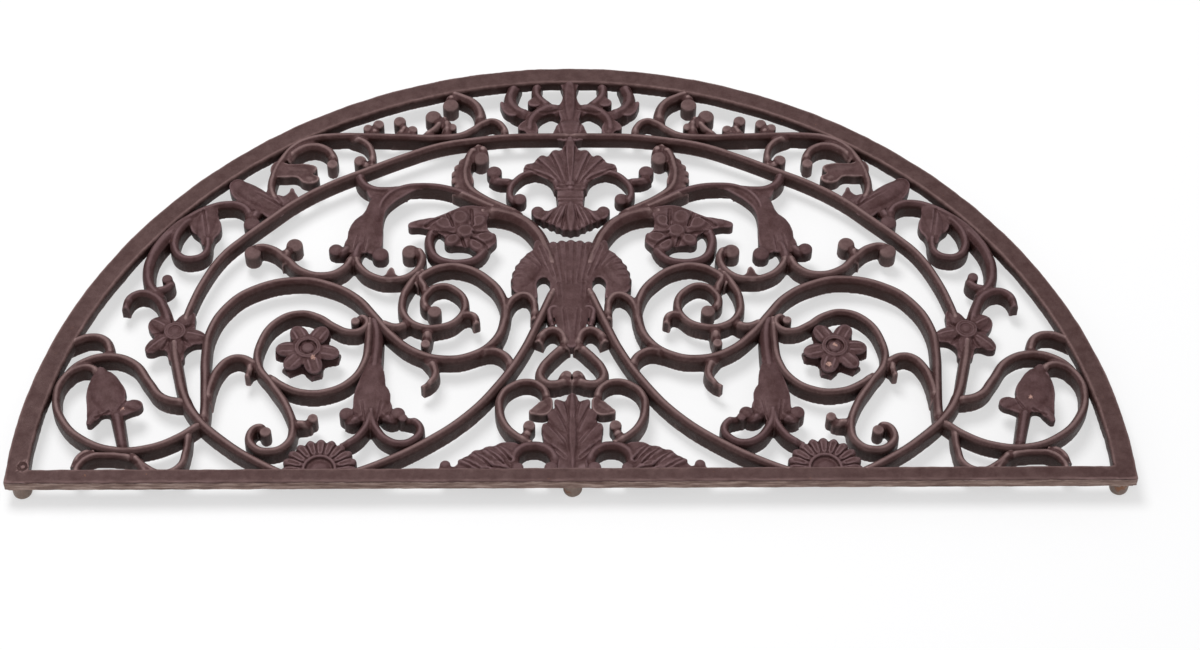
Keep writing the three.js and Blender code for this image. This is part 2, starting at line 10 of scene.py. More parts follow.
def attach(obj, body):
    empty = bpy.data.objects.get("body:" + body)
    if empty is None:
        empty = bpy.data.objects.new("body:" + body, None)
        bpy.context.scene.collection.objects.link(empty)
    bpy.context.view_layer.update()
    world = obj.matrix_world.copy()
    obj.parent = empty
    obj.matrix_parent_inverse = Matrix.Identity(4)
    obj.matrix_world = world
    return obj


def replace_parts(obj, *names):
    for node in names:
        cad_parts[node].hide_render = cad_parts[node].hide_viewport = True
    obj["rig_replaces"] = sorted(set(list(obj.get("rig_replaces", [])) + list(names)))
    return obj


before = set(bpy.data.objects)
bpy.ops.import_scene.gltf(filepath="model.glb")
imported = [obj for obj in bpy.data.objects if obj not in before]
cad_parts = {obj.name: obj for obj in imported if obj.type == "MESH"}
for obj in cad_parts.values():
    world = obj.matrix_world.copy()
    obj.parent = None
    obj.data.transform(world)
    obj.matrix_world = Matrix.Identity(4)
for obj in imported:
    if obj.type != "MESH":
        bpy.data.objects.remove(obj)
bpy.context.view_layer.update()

# Sizes in millimetres, as in the part. The drawing of the openwork is the part's own: x runs from
# the middle of the mat, y from the front of the straight edge, and the right half is drawn.
MILLIMETRE = 0.001
MAT_RADIUS = 375
RIM_WIDTH = 15
RIM_INSIDE = MAT_RADIUS - RIM_WIDTH
RAIL_DEPTH = 11
FRAME_THICKNESS = 9
ARCH_THICKNESS = 12
SCROLL_DEPTH = 14
LEAF_DROP = 1
LEAF_DEPTH = 10
FOOT_HEIGHT = 12.5
FRAME_BOTTOM = FOOT_HEIGHT
FRAME_TOP = FRAME_BOTTOM + FRAME_THICKNESS
ARCH_BOTTOM = FRAME_TOP - ARCH_THICKNESS
SCROLL_BOTTOM = FRAME_TOP - SCROLL_DEPTH
LEAF_TOP = FRAME_TOP - LEAF_DROP
LEAF_BOTTOM = LEAF_TOP - LEAF_DEPTH
FOOT_RADIUS = 6.5
FOOT_INSET = 9.5
FOOT_SETBACK = 6.7
BACK_FOOT_SPREAD = 50

# Widths of the bars and sizes of the knobs.
ARCH = 6
SWEEP = 6.2
RING = 6.6
SCROLL = 5.6
HOOK = 5
STEM = 7.5
TIP = 2.4
ROLL = 6
END_DIP = 1.8

# The smallest detail of the casting: of its bars, and of its leaves and flowers.
BAR_GRAIN = 0.85
LEAF_GRAIN = 0.7

# The share of its faces that a casting keeps when its mesh is thinned.
KEPT_SHARE = 0.45

# Where the flat flanks of a bar begin: this many widths under its crest, and at least so deep.
FLANK_WIDTHS = 0.9
FLANK_DEPTH = 3

# The studio: how much of the floor shows white by itself, and the light from all round.
FLOOR_WHITE = 0.58
SURROUND_LIGHT = 0.48


# The camera, at the photograph's viewing angle.
bpy.ops.object.camera_add(location=(-0.01319, -1.18753, 1.46033))
camera = bpy.context.object
camera.name = "camera"
pitch, yaw, roll = radians(51.8273), radians(1.6613), radians(1.1526)
forward = Vector((sin(yaw) * cos(pitch), cos(yaw) * cos(pitch), -sin(pitch)))
level = Vector((cos(yaw), -sin(yaw), 0))
upright = level.cross(forward)
to_right = level * cos(roll) + upright * sin(roll)
to_top = upright * cos(roll) - level * sin(roll)
turned = Matrix((to_right, to_top, -forward)).transposed()
camera.rotation_euler = turned.to_euler()
camera.data.lens = 79.491
camera.data.sensor_width = 36
camera.data.clip_end = 20
bpy.context.scene.camera = camera


# Modelling tools. Each adds a shape to the bench, and cast() makes one piece of what lies there.
bench = []


def only(*objects):
    bpy.ops.object.select_all(action="DESELECT")
    for one in objects:
        one.select_set(True)
    bpy.context.view_layer.objects.active = objects[0]


def lay_on_bench():
    """Takes the object in hand as a mesh with its place in its mesh."""
    only(bpy.context.object)
    if bpy.context.object.type == "CURVE":
        bpy.ops.object.convert(target="MESH")
    bpy.ops.object.transform_apply(location=True, rotation=True, scale=True)
    bench.append(bpy.context.object)
    return bpy.context.object


def bar_section():
    """The section of a cast bar of width 1: a crest, and flanks that fall away from it."""
    corners = [(-0.58, -1.5), (-0.55, -0.7), (-0.46, -0.36), (-0.26, -0.14), (-0.1, 0), (0.1, 0),
               (0.26, -0.14), (0.46, -0.36), (0.55, -0.7), (0.58, -1.5)]
    bpy.ops.curve.primitive_bezier_circle_add(radius=1)
    section = bpy.context.object
    section.name = "bar_section"
    section.data.splines.clear()
    outline = section.data.splines.new("POLY")
    outline.points.add(len(corners) - 1)
    for point, (across, up) in zip(outline.points, corners):
        point.co = (across, up, 0, 1)
    outline.use_cyclic_u = True
    return section


def draw_line(points, closed, height):
    bpy.ops.curve.primitive_bezier_curve_add(location=(0, 0, height))
    line = bpy.context.object
    spline = line.data.splines[0]
    spline.bezier_points.add(len(points) - 2)
    for point, (x, y) in zip(spline.bezier_points, points):
        point.co = (x, y, 0)
        point.handle_left_type = "AUTO"
        point.handle_right_type = "AUTO"
    spline.use_cyclic_u = closed
    line.data.dimensions = "2D"
    line.data.resolution_u = 6
    return line


def bar(route, width, end_width=None, bottom=SCROLL_BOTTOM, top=FRAME_TOP):
    """A cast bar along a smooth line, tapering from one width to the other."""
    line = draw_line(route, False, top)
    points = line.data.splines[0].bezier_points
    for i, point in enumerate(points):
        share = i / (len(points) - 1)
        point.radius = width + ((end_width or width) - width) * share
    line.data.bevel_mode = "OBJECT"
    line.data.bevel_object = section
    line.data.use_fill_caps = True
    made = lay_on_bench()
    underside = min(top - FLANK_WIDTHS * min(width, end_width or width), top - FLANK_DEPTH)
    for corner in made.data.vertices:
        x, y, z = corner.co
        if z < underside:
            corner.co.z = bottom
        else:
            to_end = min(hypot(x - end_x, y - end_y) for end_x, end_y in (route[0], route[-1]))
            corner.co.z -= END_DIP * max(0, 1 - max(0, to_end - width / 2) / END_DIP / 1.5)
    return made


def plate(outline, bottom=LEAF_BOTTOM, top=LEAF_TOP - 1, edge=0.7):
    """A leaf or body over a smooth closed outline, with rounded edges."""
    line = draw_line(outline, True, (bottom + top) / 2)
    line.data.fill_mode = "BOTH"
    line.data.extrude = (top - bottom) / 2 - edge
    line.data.bevel_depth = edge
    line.data.bevel_resolution = 2
    line.data.offset = -edge
    return lay_on_bench()


def both_sides(half):
    """The whole outline of a leaf across the middle, from its right half."""
    return half + [(-x, y) for x, y in reversed(half) if x > 0]


def knob(middle, radius, bottom=SCROLL_BOTTOM, top=FRAME_TOP):
    """A round knob at the end of a curl, with a domed top."""
    x, y = middle
    dome = radius * 0.5
    bpy.ops.mesh.primitive_cylinder_add(vertices=20, radius=radius, depth=top - dome - bottom,
                                        location=(x, y, (top - dome + bottom) / 2))
    lay_on_bench()
    lobe(middle, 2 * radius, 2 * radius, 0, top - dome, dome)


def lobe(middle, length, width, turn, height, rise, lean=0):
    """A rounded swelling: a petal, a flute or a bead."""
    x, y = middle
    bpy.ops.mesh.primitive_uv_sphere_add(segments=20, ring_count=12, radius=1, location=(x, y, height))
    bpy.context.object.scale = (length / 2, width / 2, rise)
    bpy.context.object.rotation_euler = (0, radians(-lean), radians(turn))
    return lay_on_bench()


def cast(name, grain=BAR_GRAIN, keep=KEPT_SHARE):
    """Joins what lies on the bench into one closed casting with soft edges."""
    only(*bench)
    bench.clear()
    bpy.ops.object.join()
    piece = bpy.context.object
    piece.name = name
    bpy.ops.object.mode_set(mode="EDIT")
    bpy.ops.mesh.select_all(action="SELECT")
    bpy.ops.mesh.remove_doubles(threshold=0.002)
    bpy.ops.mesh.normals_make_consistent(inside=False)
    bpy.ops.object.mode_set(mode="OBJECT")
    remesh = piece.modifiers.new("remesh", "REMESH")
    remesh.mode = "VOXEL"
    remesh.voxel_size = grain
    remesh.use_smooth_shade = True
    bpy.ops.object.modifier_apply(modifier=remesh.name)
    smooth = piece.modifiers.new("smooth", "SMOOTH")
    smooth.factor = 0.5
    smooth.iterations = 3
    bpy.ops.object.modifier_apply(modifier=smooth.name)
    piece["keep"] = keep
    return piece


def grooves(piece, lines, width, depth):
    """Presses grooves into the upper side of a piece, along straight lines between two places."""
    mesh = piece.data
    count = len(mesh.vertices)
    places = np.empty(count * 3)
    facing = np.empty(count * 3)
    mesh.vertices.foreach_get("co", places)
    mesh.vertices.foreach_get("normal", facing)
    places = places.reshape(-1, 3)
    upward = np.clip(facing.reshape(-1, 3)[:, 2] * 1.6 - 0.2, 0, 1)
    for (x0, y0), (x1, y1) in lines:
        start = np.array([x0, y0])
        run = np.array([x1 - x0, y1 - y0])
        away = places[:, :2] - start
        share = np.clip(away @ run / (run @ run), 0, 1)
        gap = np.linalg.norm(away - share[:, None] * run, axis=1)
        press = np.clip(1 - (gap / (width / 2)) ** 2, 0, 1) ** 1.5
        places[:, 2] -= depth * press * upward * (1 - 0.45 * share)
    mesh.vertices.foreach_set("co", places.ravel())
    mesh.update()


def tuck(piece):
    """Ends what runs into the frame inside the rim and the rail."""
    for corner in piece.data.vertices:
        x, y, z = corner.co
        reach = (x * x + y * y) ** 0.5
        if y < RAIL_DEPTH - 2 or reach > RIM_INSIDE + 2:
            corner.co.z = min(max(z, FRAME_BOTTOM + 1), FRAME_TOP - 1.2)
        if reach > RIM_INSIDE + 5:
            corner.co.x *= (RIM_INSIDE + 5) / reach
            corner.co.y *= (RIM_INSIDE + 5) / reach
        corner.co.y = max(corner.co.y, RAIL_DEPTH - 4)


def finish(piece, node, slot):
    """Thins the mesh, sets the piece on the mat in metres and lets it stand for its node."""
    only(piece)
    thin = piece.modifiers.new("thin", "DECIMATE")
    thin.ratio = piece["keep"]
    bpy.ops.object.modifier_apply(modifier=thin.name)
    del piece["keep"]
    keep_in_box(piece)
    place = Matrix.Translation((0, -MAT_RADIUS / 2 * MILLIMETRE, 0)) @ Matrix.Scale(MILLIMETRE, 4)
    piece.data.transform(place)
    bpy.ops.object.shade_smooth()
    dress(piece, node, slot)


def dress(piece, node, slot):
    piece.data.materials.clear()
    piece.data.materials.append(FINISHES[slot])
    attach(piece, "root")
    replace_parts(piece, node)


def mirrored(piece, name, node, slot):
    """The same piece on the left half, with a mesh of its own."""
    twin = piece.copy()
    twin.data = piece.data.copy()
    twin.name = name
    bpy.context.collection.objects.link(twin)
    twin.data.transform(Matrix.Scale(-1, 4, (1, 0, 0)))
    twin.data.flip_normals()
    if "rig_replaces" in twin:
        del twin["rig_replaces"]
    dress(twin, node, slot)
    return twin


def star(middle, tip, notch, count, bottom, top):
    """A flower's body: a disc whose edge runs between petal tips and notches."""
    x, y = middle
    bpy.ops.mesh.primitive_circle_add(vertices=2 * count, radius=1, fill_type="NGON",
                                      location=(x, y, bottom))
    disc = bpy.context.object
    for i, corner in enumerate(disc.data.vertices):
        corner.co = corner.co * (tip if i % 2 == 0 else notch)
    bpy.ops.object.mode_set(mode="EDIT")
    bpy.ops.mesh.select_all(action="SELECT")
    bpy.ops.mesh.extrude_region_move(TRANSFORM_OT_translate={"value": (0, 0, top - bottom)})
    bpy.ops.object.mode_set(mode="OBJECT")
    return lay_on_bench()


def scallops(places, radius):
    """Small round lobes along the edge of a leaf."""
    for place in places:
        knob(place, radius, LEAF_BOTTOM, LEAF_TOP - 1)


def mirrored_lines(lines):
    return [((-x0, y0), (-x1, y1)) for (x0, y0), (x1, y1) in lines]


def bead_ring(middle, radius, thickness, height):
    x, y = middle
    bpy.ops.mesh.primitive_torus_add(major_segments=32, minor_segments=10, major_radius=radius,
                                     minor_radius=thickness, location=(x, y, height))
    return lay_on_bench()


def towards(middle, turn, reach):
    x, y = middle
    return x + reach * cos(radians(turn)), y + reach * sin(radians(turn))


def mirror_bench():
    """Adds the other side of everything on the bench, across the middle of the mat."""
    for part in list(bench):
        only(part)
        bpy.ops.object.duplicate()
        twin = bpy.context.object
        twin.data.transform(Matrix.Scale(-1, 4, (1, 0, 0)))
        twin.data.flip_normals()
        bench.append(twin)


def trim(piece, place, facing):
    """Cuts away what lies on the side of a plane that it faces, and closes the cut."""
    only(piece)
    bpy.ops.object.mode_set(mode="EDIT")
    bpy.ops.mesh.select_all(action="SELECT")
    bpy.ops.mesh.bisect(plane_co=place, plane_no=facing, use_fill=True, clear_outer=True)
    bpy.ops.object.mode_set(mode="OBJECT")


# The openwork. Bars first.
def inner_arch():
    bar([(-5, 308.5), (20, 308.5), (45, 307.8), (70, 304.5), (96, 299), (120, 289), (150, 274),
         (172, 262.5), (196, 246), (214, 229), (232, 211), (245, 196), (257, 172), (264, 150),
         (268, 132)], ARCH, bottom=ARCH_BOTTOM)
    mirror_bench()
    return cast("inner_arch_casting")


def sweep_bar():
    bar([(12, 165), (22.5, 137), (33.5, 110), (50, 81.5), (71, 55.5), (100, 32.5), (130, 15.5),
         (155, 5)], SWEEP)
    return cast("sweep_bar_casting")


def ring_scroll():
    bar([(248, 50), (247.5, 60), (249, 84), (250.5, 108), (249, 128), (238.5, 150.5), (222, 165),
         (190, 173.3), (168, 168.5), (149.5, 157), (137, 141.5), (124.5, 124.5), (108, 110),
         (88, 103.5), (68, 107), (53.5, 118.5), (46.5, 137), (48, 157), (59, 174), (76, 184.5),
         (90, 185), (102, 179), (110, 170)], RING)
    bar([(51, 120), (46, 138), (44, 150), (38, 158), (32, 159.5), (27.5, 156), (25.5, 147),
         (26, 138)], RING, HOOK)
    bar([(66, 108), (55, 110.5), (48, 108), (43, 102), (41, 94)], RING)
    bar([(99, 105), (94.5, 97), (93.5, 89), (97, 83), (102, 79.5)], 8, TIP + 1)
    return cast("ring_scroll_casting")


def stem_sweep():
    bar([(188, 6), (208, 17), (232, 34), (254, 56.5), (262.5, 73), (268, 93), (272, 112),
         (273, 124)], SCROLL, 8.5)
    return cast("stem_sweep_casting")


def rosette_scroll():
    bar([(149, 137.5), (145, 139.5), (141.5, 135.5), (144.5, 129), (153, 127), (164, 132), (175, 140),
         (188, 143.5), (203, 137), (213.5, 118.5), (214, 98.5), (204, 82.5), (192, 62),
         (187.5, 44), (191, 32), (202, 26.5), (212.5, 30), (216, 40), (210, 46.5), (205.5, 43)],
        SCROLL)
    knob((205.5, 42), 4)
    knob((149.5, 136), 3.2)
    bar([(190, 50), (181, 49), (175.5, 51)], RING)
    knob((174.5, 53), 3.6)
    return cast("rosette_scroll_casting")


def rosette_ring():
    bar([(140, 140), (139.8, 118), (142, 100), (150, 85.5), (164, 76.5), (182, 75), (198, 82),
         (207, 90)], SCROLL)
    return cast("rosette_ring_casting")


def tulip_ring():
    bar([(258.5, 67), (277, 71.5), (287, 84), (299, 100.5), (317, 106.5), (334, 101), (345, 89)],
        RING)
    bar([(248, 51), (264, 38), (283, 29.5), (305, 28), (326, 36), (342, 52), (348.5, 72),
         (345, 88), (336, 96.5), (327, 96.5), (321, 90)], SCROLL)
    bar([(316, 104), (316.5, 113), (321, 121), (330, 123.5), (340, 120), (351, 113)], RING)
    return cast("tulip_ring_casting")


def corner_scroll():
    bar([(257, 44), (257.5, 26), (261, 14), (272, 9), (283, 14), (294, 25)], HOOK)
    bar([(291, 22), (285, 14), (280, 5)], RING)
    bar([(290, 21), (298, 22.5), (310, 23.5), (320, 22.5), (327.5, 15), (328.5, 5)], HOOK)
    bar([(318, 27), (326, 24), (331, 14)], HOOK)
    return cast("corner_scroll_casting")


def inner_hook():
    bar([(247, 66), (244.5, 85), (240.5, 96), (234, 103.5), (227, 105), (220, 102), (214, 96)], RING)
    bar([(222, 103), (219.5, 97), (221.5, 89)], RING, TIP + 1)
    return cast("inner_hook_casting")


def spiral():
    bar([(104, 183), (113, 169), (117.5, 155), (115.5, 141), (105.5, 132), (91.5, 131), (78.5, 138),
         (74, 152), (80.5, 163.5), (91, 167.5), (100.5, 161), (102, 151), (97, 146.5)], SCROLL)
    knob((95, 144.5), 5)
    bar([(107, 182), (106, 174), (102.5, 166), (101.5, 156)], RING, HOOK)
    bar([(80, 138), (73.5, 142), (68, 141), (65.5, 134.5)], RING, HOOK)
    bar([(99.5, 132), (99.5, 124), (100.5, 117)], 7.4, RING)
    knob((100.5, 116), 3.4)
    bar([(112, 137), (120, 131.5), (135, 137)], RING)
    return cast("spiral_casting")


def cross_scroll():
    bar([(153, 197), (148, 184.5), (138, 176), (124, 173.5), (112, 178), (105.5, 189), (107, 199),
         (112, 202)], SCROLL)
    knob((113.5, 199), ROLL)
    bar([(153, 197), (160, 183.5), (173, 177.5), (190, 182), (201, 193), (212, 202), (222, 203),
         (226, 199)], RING)
    knob((224.5, 198.5), ROLL)
    bar([(200, 188), (200.5, 198), (198, 204)], RING)
    knob((195.5, 205), ROLL)
    plate([(120, 174), (123, 178), (126, 184), (129, 181), (130, 178), (133, 174)], top=FRAME_TOP - 1)
    return cast("cross_scroll_casting")


def heart_scroll():
    bar([(4, 116), (9, 110.5), (15, 103.5), (20, 96), (21.5, 88), (18, 83), (11, 82), (5, 84), (0, 85)],
        RING)
    bar([(8, 83.5), (6, 88), (3.4, 90.5), (1, 88.5)], HOOK)
    knob((3.2, 89), 3.2)
    bar([(23, 118), (19.5, 125), (13.5, 128.5), (8, 126.5), (5, 120), (4.5, 112)], RING)
    return cast("heart_scroll_casting")


def foot_scroll():
    bar([(28, 33), (38, 39), (45.5, 48), (49, 60), (48, 71.5), (41, 80), (30, 83.5),
         (21, 79.5), (17.5, 72), (18.5, 66)], SCROLL)
    plate([(15, 70), (19, 67.5), (22.5, 66), (24.5, 62.5), (29.5, 57.5), (24, 55), (18, 55), (14.5, 58),
           (13, 64)], top=FRAME_TOP - 1)
    lobe((21.5, 61), 15, 8, -35, FRAME_TOP - 2, 2)
    bar([(34, 36), (30.5, 41), (29, 46)], RING, HOOK)
    knob((29, 46.5), 4.2)
    return cast("foot_scroll_casting")


def border_scroll():
    bar([(47.5, 308), (49, 317), (56, 323.5), (64, 321), (71, 315), (80, 309.5), (96, 307.5),
         (120, 308), (150, 309), (172, 309), (188, 306.5), (200, 299.5), (209, 286), (214, 272),
         (215, 257), (210, 244)], SCROLL)
    bar([(160, 308), (149, 302), (144, 292), (144, 281)], HOOK)
    bar([(143, 281), (148, 281), (152, 284)], HOOK)
    knob((152.5, 284.5), 4.6)
    bar([(141, 308), (143, 314), (141, 319)], RING)
    knob((140.5, 320), 4.2)
    knob((148, 316), 3.6)
    bar([(122, 309), (114, 314)], HOOK)
    knob((115.5, 314.5), 3.8)
    bar([(172, 282), (173, 290), (179, 297), (189, 299), (198, 295), (206, 286)], RING, STEM)
    knob((172.5, 281), 4)
    plate([(214, 283), (203, 281), (190, 281), (183, 277), (186, 272), (181, 268), (184, 263),
           (192, 263), (198, 268), (208, 268), (215, 270)], top=FRAME_TOP - 1)
    lobe((197, 275), 26, 9, 5, FRAME_TOP - 2.4, 2.4)
    lobe((188, 266.5), 10, 7, 10, FRAME_TOP - 2, 1.8)
    bar([(66, 320), (66.5, 333), (71, 342), (79, 347.5), (92, 353)], 8.4, RING)
    bar([(82, 350), (88, 346), (88.5, 341)], 8, RING)
    knob((88, 339.5), ROLL)
    bar([(91, 308), (90, 319), (93, 328)], 9, HOOK)
    knob((100.5, 328), ROLL)
    bar([(108, 308), (99, 316), (94, 325)], HOOK)
    knob((86.5, 317), 3.4)
    bar([(128, 308), (122, 315), (123, 322)], RING, HOOK)
    knob((125, 323), 4.6)
    return cast("border_scroll_casting")


def stalk():
    bar([(67, 299), (72, 292), (75, 281), (76, 271), (73, 259), (63, 249), (50, 241), (36, 233)],
        RING, 8)
    knob((65, 287), ROLL)
    bar([(68, 300), (64, 296), (62.5, 290)], RING)
    plate([(73, 288), (77, 285.5), (81, 280), (83, 273), (83, 266), (80, 259), (76, 255), (70, 262),
           (72, 275)])
    scallops([(77.5, 284), (80.8, 278.5), (82.6, 272.5), (82.6, 266.5), (80.3, 260.5)], 3.6)
    bar([(11, 180), (18, 202), (25, 218), (35, 229), (49, 235.5), (64, 237)], 9.6, 12)
    bar([(50, 237), (66, 246), (84, 256.3)], 7, RING)
    return cast("stalk_casting")


# Leaves, bells and flowers.
def shell():
    plate(both_sides([(0, 207), (8, 207), (16, 205), (23, 201), (29, 196), (34, 190), (37.5, 184),
                      (39.5, 177), (40.5, 170), (40, 163), (35, 160), (29, 159.5), (25, 156),
                      (23.8, 164), (24.2, 169.5), (22, 174), (18.8, 175.3), (16, 173), (14.8, 167),
                      (16.5, 159), (19, 150), (15, 144), (10, 138), (7.5, 128), (5, 117), (0, 113)]))
    scallops([(6.5, 206.5), (12.5, 205.5), (18.5, 203), (24, 199.5), (29, 195.3), (33, 190.3),
              (36.3, 184.8), (38.3, 179), (39.2, 173), (38.8, 167)], 3.4)
    lobe((30, 183), 40, 17, 115, LEAF_TOP - 1.5, 2.8)
    lobe((27, 192), 24, 12, 130, LEAF_TOP - 1.5, 2)
    lobe((18, 196), 30, 15, 70, LEAF_TOP - 1.5, 2.6)
    bar([(8, 143), (10.5, 147.5), (14.5, 146.5), (15, 140), (13, 132)], HOOK, 3.4, LEAF_BOTTOM)
    mirror_bench()
    knob((0, 207), 3.4, LEAF_BOTTOM, LEAF_TOP - 1)
    lobe((0, 186), 46, 40, 90, LEAF_TOP - 1.6, 3)
    lobe((0, 150), 66, 25, 90, LEAF_TOP - 1.6, 3)
    lobe((0, 158), 9, 5, 0, LEAF_TOP + 0.5, 1.4)
    piece = cast("shell_casting", LEAF_GRAIN)
    flutes = [((3, 208), (1.8, 168)), ((9.5, 208), (5.2, 170)), ((15.5, 205), (9, 172)),
              ((21.5, 202), (12.5, 176)), ((27, 198), (17, 181)), ((31.5, 193), (22, 184)),
              ((35.5, 187.5), (27, 184)), ((38, 181.5), (31, 180)), ((39, 175.5), (33, 175)),
              ((9, 169), (8, 156)), ((5, 145), (3, 120))]
    grooves(piece, flutes + mirrored_lines(flutes), 2.8, 0.75)
    return piece


def upper_palmette():
    plate(both_sides([(0, 309), (3, 303), (5, 298), (7, 295), (12, 295), (15, 291.5), (16.5, 289),
                      (21, 289.5), (25, 286), (26.5, 283), (31, 281.5), (34, 277), (33, 273.5),
                      (24, 273), (14, 267.5), (10, 260), (9.5, 250), (9, 243), (11, 238), (17, 237),
                      (24, 238), (27, 234), (26, 231), (20, 228), (14, 225), (9, 222), (4, 219.5),
                      (0, 218)]))
    scallops([(10.5, 292.5), (20, 287.3), (30, 279)], 3.6)
    scallops([(19, 229.5), (13.5, 226.7), (8.7, 224), (4.3, 221.5)], 2.8)
    lobe((8, 278), 32, 8.5, 74, LEAF_TOP - 1.4, 2.4)
    lobe((14.5, 276), 29, 8.5, 57, LEAF_TOP - 1.4, 2.4)
    lobe((21, 273.5), 24, 8, 36, LEAF_TOP - 1.4, 2.2)
    lobe((8, 233), 22, 6.5, -62, LEAF_TOP - 1.2, 2.2)
    lobe((13.5, 234), 20, 6, -40, LEAF_TOP - 1.2, 2)
    bar([(9, 258), (12, 266), (21, 272.5), (31, 272), (39.5, 265), (43.5, 256), (42, 247.5),
         (37, 245)], HOOK, HOOK, LEAF_BOTTOM)
    knob((36.5, 247.5), ROLL - 1, LEAF_BOTTOM)
    bar([(39, 265), (46, 264.5), (52.5, 265.5), (57, 269)], RING, RING, LEAF_BOTTOM)
    knob((55, 273.5), ROLL - 0.4, LEAF_BOTTOM)
    knob((23.5, 236.5), ROLL - 1.2, LEAF_BOTTOM, LEAF_TOP)
    mirror_bench()
    knob((0, 220.5), 2.8, LEAF_BOTTOM, LEAF_TOP - 1)
    bar([(0, 309), (0, 296)], STEM, 8, ARCH_BOTTOM)
    lobe((0, 282), 54, 9, 90, LEAF_TOP - 1, 2.6)
    lobe((0, 231), 28, 7, 90, LEAF_TOP - 1, 2.4)
    bar([(0, 263), (0, 243)], 19, 17, LEAF_BOTTOM, LEAF_TOP + 0.4)
    piece = cast("upper_palmette_casting", LEAF_GRAIN)
    rays = [((4, 297), (2, 264)), ((14.5, 292), (5, 263)), ((24.5, 286), (7.5, 263)),
            ((33, 277), (12, 265)), ((6.5, 221), (3, 240)), ((11.5, 224), (5, 241)),
            ((17, 227), (7, 242))]
    bands = [((-9.5, 259.5), (9.5, 259.5)), ((-9.5, 256), (9.5, 256)), ((-9.5, 249.5), (9.5, 249.5)),
             ((-9.5, 246), (9.5, 246))]
    grooves(piece, rays + mirrored_lines(rays), 2.4, 1.3)
    grooves(piece, bands, 1.8, 0.9)
    return piece


def crown():
    plate(both_sides([(5.5, 367), (5, 352), (6, 344), (8.5, 338), (8, 331), (7, 325), (10, 318),
                      (12.5, 312), (13, 308)]), ARCH_BOTTOM)
    bar([(4, 333), (13, 337), (21, 334), (27.5, 326.5), (29.5, 317), (28, 308.5)], 10, 8, ARCH_BOTTOM)
    bar([(12, 337), (20, 343), (24.5, 351), (23, 364)], 8.5, 6)
    bar([(26, 330), (34, 332), (41, 337), (44, 346), (42, 355), (39, 364)], 11, 8)
    plate([(25, 322), (31, 325), (36, 322), (38, 316), (33, 313.5), (31, 309), (26, 309)], ARCH_BOTTOM)
    plate([(20, 345), (24, 347.5), (29, 346), (31, 341), (27, 338.5), (22, 340)])
    plate([(38, 332), (42, 336), (47, 338), (50.5, 343.5), (50.5, 337), (47, 331), (42, 329)])
    mirror_bench()
    lobe((0, 345), 48, 9, 90, LEAF_TOP - 1, 2.6)
    lobe((0, 316), 22, 14, 0, LEAF_TOP - 1, 2.2)
    piece = cast("crown_casting", LEAF_GRAIN)
    veins = [((6, 335), (22, 331)), ((31, 333), (41, 343)), ((8, 322), (5, 306))]
    grooves(piece, veins + mirrored_lines(veins), 2, 0.9)
    return piece


def star_flower():
    middle = (273, 127)
    plate([(260, 133), (262.5, 146), (267, 145), (274, 138), (282, 141.5), (289, 140.5), (292.5, 134.5),
           (290, 128), (287, 124), (290.5, 120), (292.5, 112), (289.5, 110), (281, 112.5),
           (278.5, 112), (274.5, 103), (266.5, 103), (265, 112), (260, 117), (253, 118.5),
           (250.5, 122.5), (253.5, 126.5), (258.5, 128.5)], top=LEAF_TOP - 2)
    for turn, reach in ((34, 21), (-40, 23), (190, 22), (118, 20), (262, 22)):
        lobe(towards(middle, turn, reach / 2), reach, 11, turn, LEAF_TOP - 2.4, 2.8)
    bead_ring(middle, 6, 1.5, LEAF_TOP + 0.1)
    lobe(middle, 8.5, 8.5, 0, LEAF_TOP - 1, 2)
    bar([(277, 131), (282, 147), (288, 157.5), (297, 162), (304.5, 160), (308.5, 154), (309.5, 148.5)],
        9, HOOK)
    bar([(293, 165), (284, 165.5), (280, 170), (281.5, 174.5)], RING, HOOK)
    knob((282.5, 174), 3.8)
    bar([(285, 158), (293, 167), (296.5, 181), (295, 195), (289, 209), (279, 223)], RING, 10)
    piece = cast("star_flower_casting", LEAF_GRAIN)
    ribs = [(towards(middle, turn, 9), towards(middle, turn, reach)) for turn, reach in
            ((34, 21), (-40, 24), (190, 20), (262, 20))]
    grooves(piece, ribs, 1.8, -0.7)
    folds = [(towards(middle, turn, 9), towards(middle, turn, 15)) for turn in (-5, 75, 150, 225, 298)]
    grooves(piece, folds, 3.4, 1.4)
    return piece


def rosette():
    middle = (181, 112.5)
    turns = (0, 62, 121, 192, 252, 311)
    for turn in turns:
        bar([towards(middle, turn, 5), towards(middle, turn, 13)], 11, 14, LEAF_BOTTOM, LEAF_TOP - 1.6)
        bar([towards(middle, turn, 13), towards(middle, turn, 22.5)], 14, 7, LEAF_BOTTOM, LEAF_TOP - 1.6)
        lobe(towards(middle, turn, 13.5), 18, 13, turn, LEAF_TOP - 2, 2.4)
    bead_ring(middle, 7.6, 1.5, LEAF_TOP + 0.1)
    knob(middle, 8.6, LEAF_BOTTOM, LEAF_TOP - 1)
    lobe(middle, 9, 9, 0, LEAF_TOP - 1, 2)
    piece = cast("rosette_casting", LEAF_GRAIN)
    for turn in turns:
        sides = [(towards(middle, turn + side, 11), towards(middle, turn + side * 0.6, 19))
                 for side in (-15, 15)]
        grooves(piece, sides, 2, -0.5)
        grooves(piece, [(towards(middle, turn, 11), towards(middle, turn, 19))], 5, 0.8)
    return piece


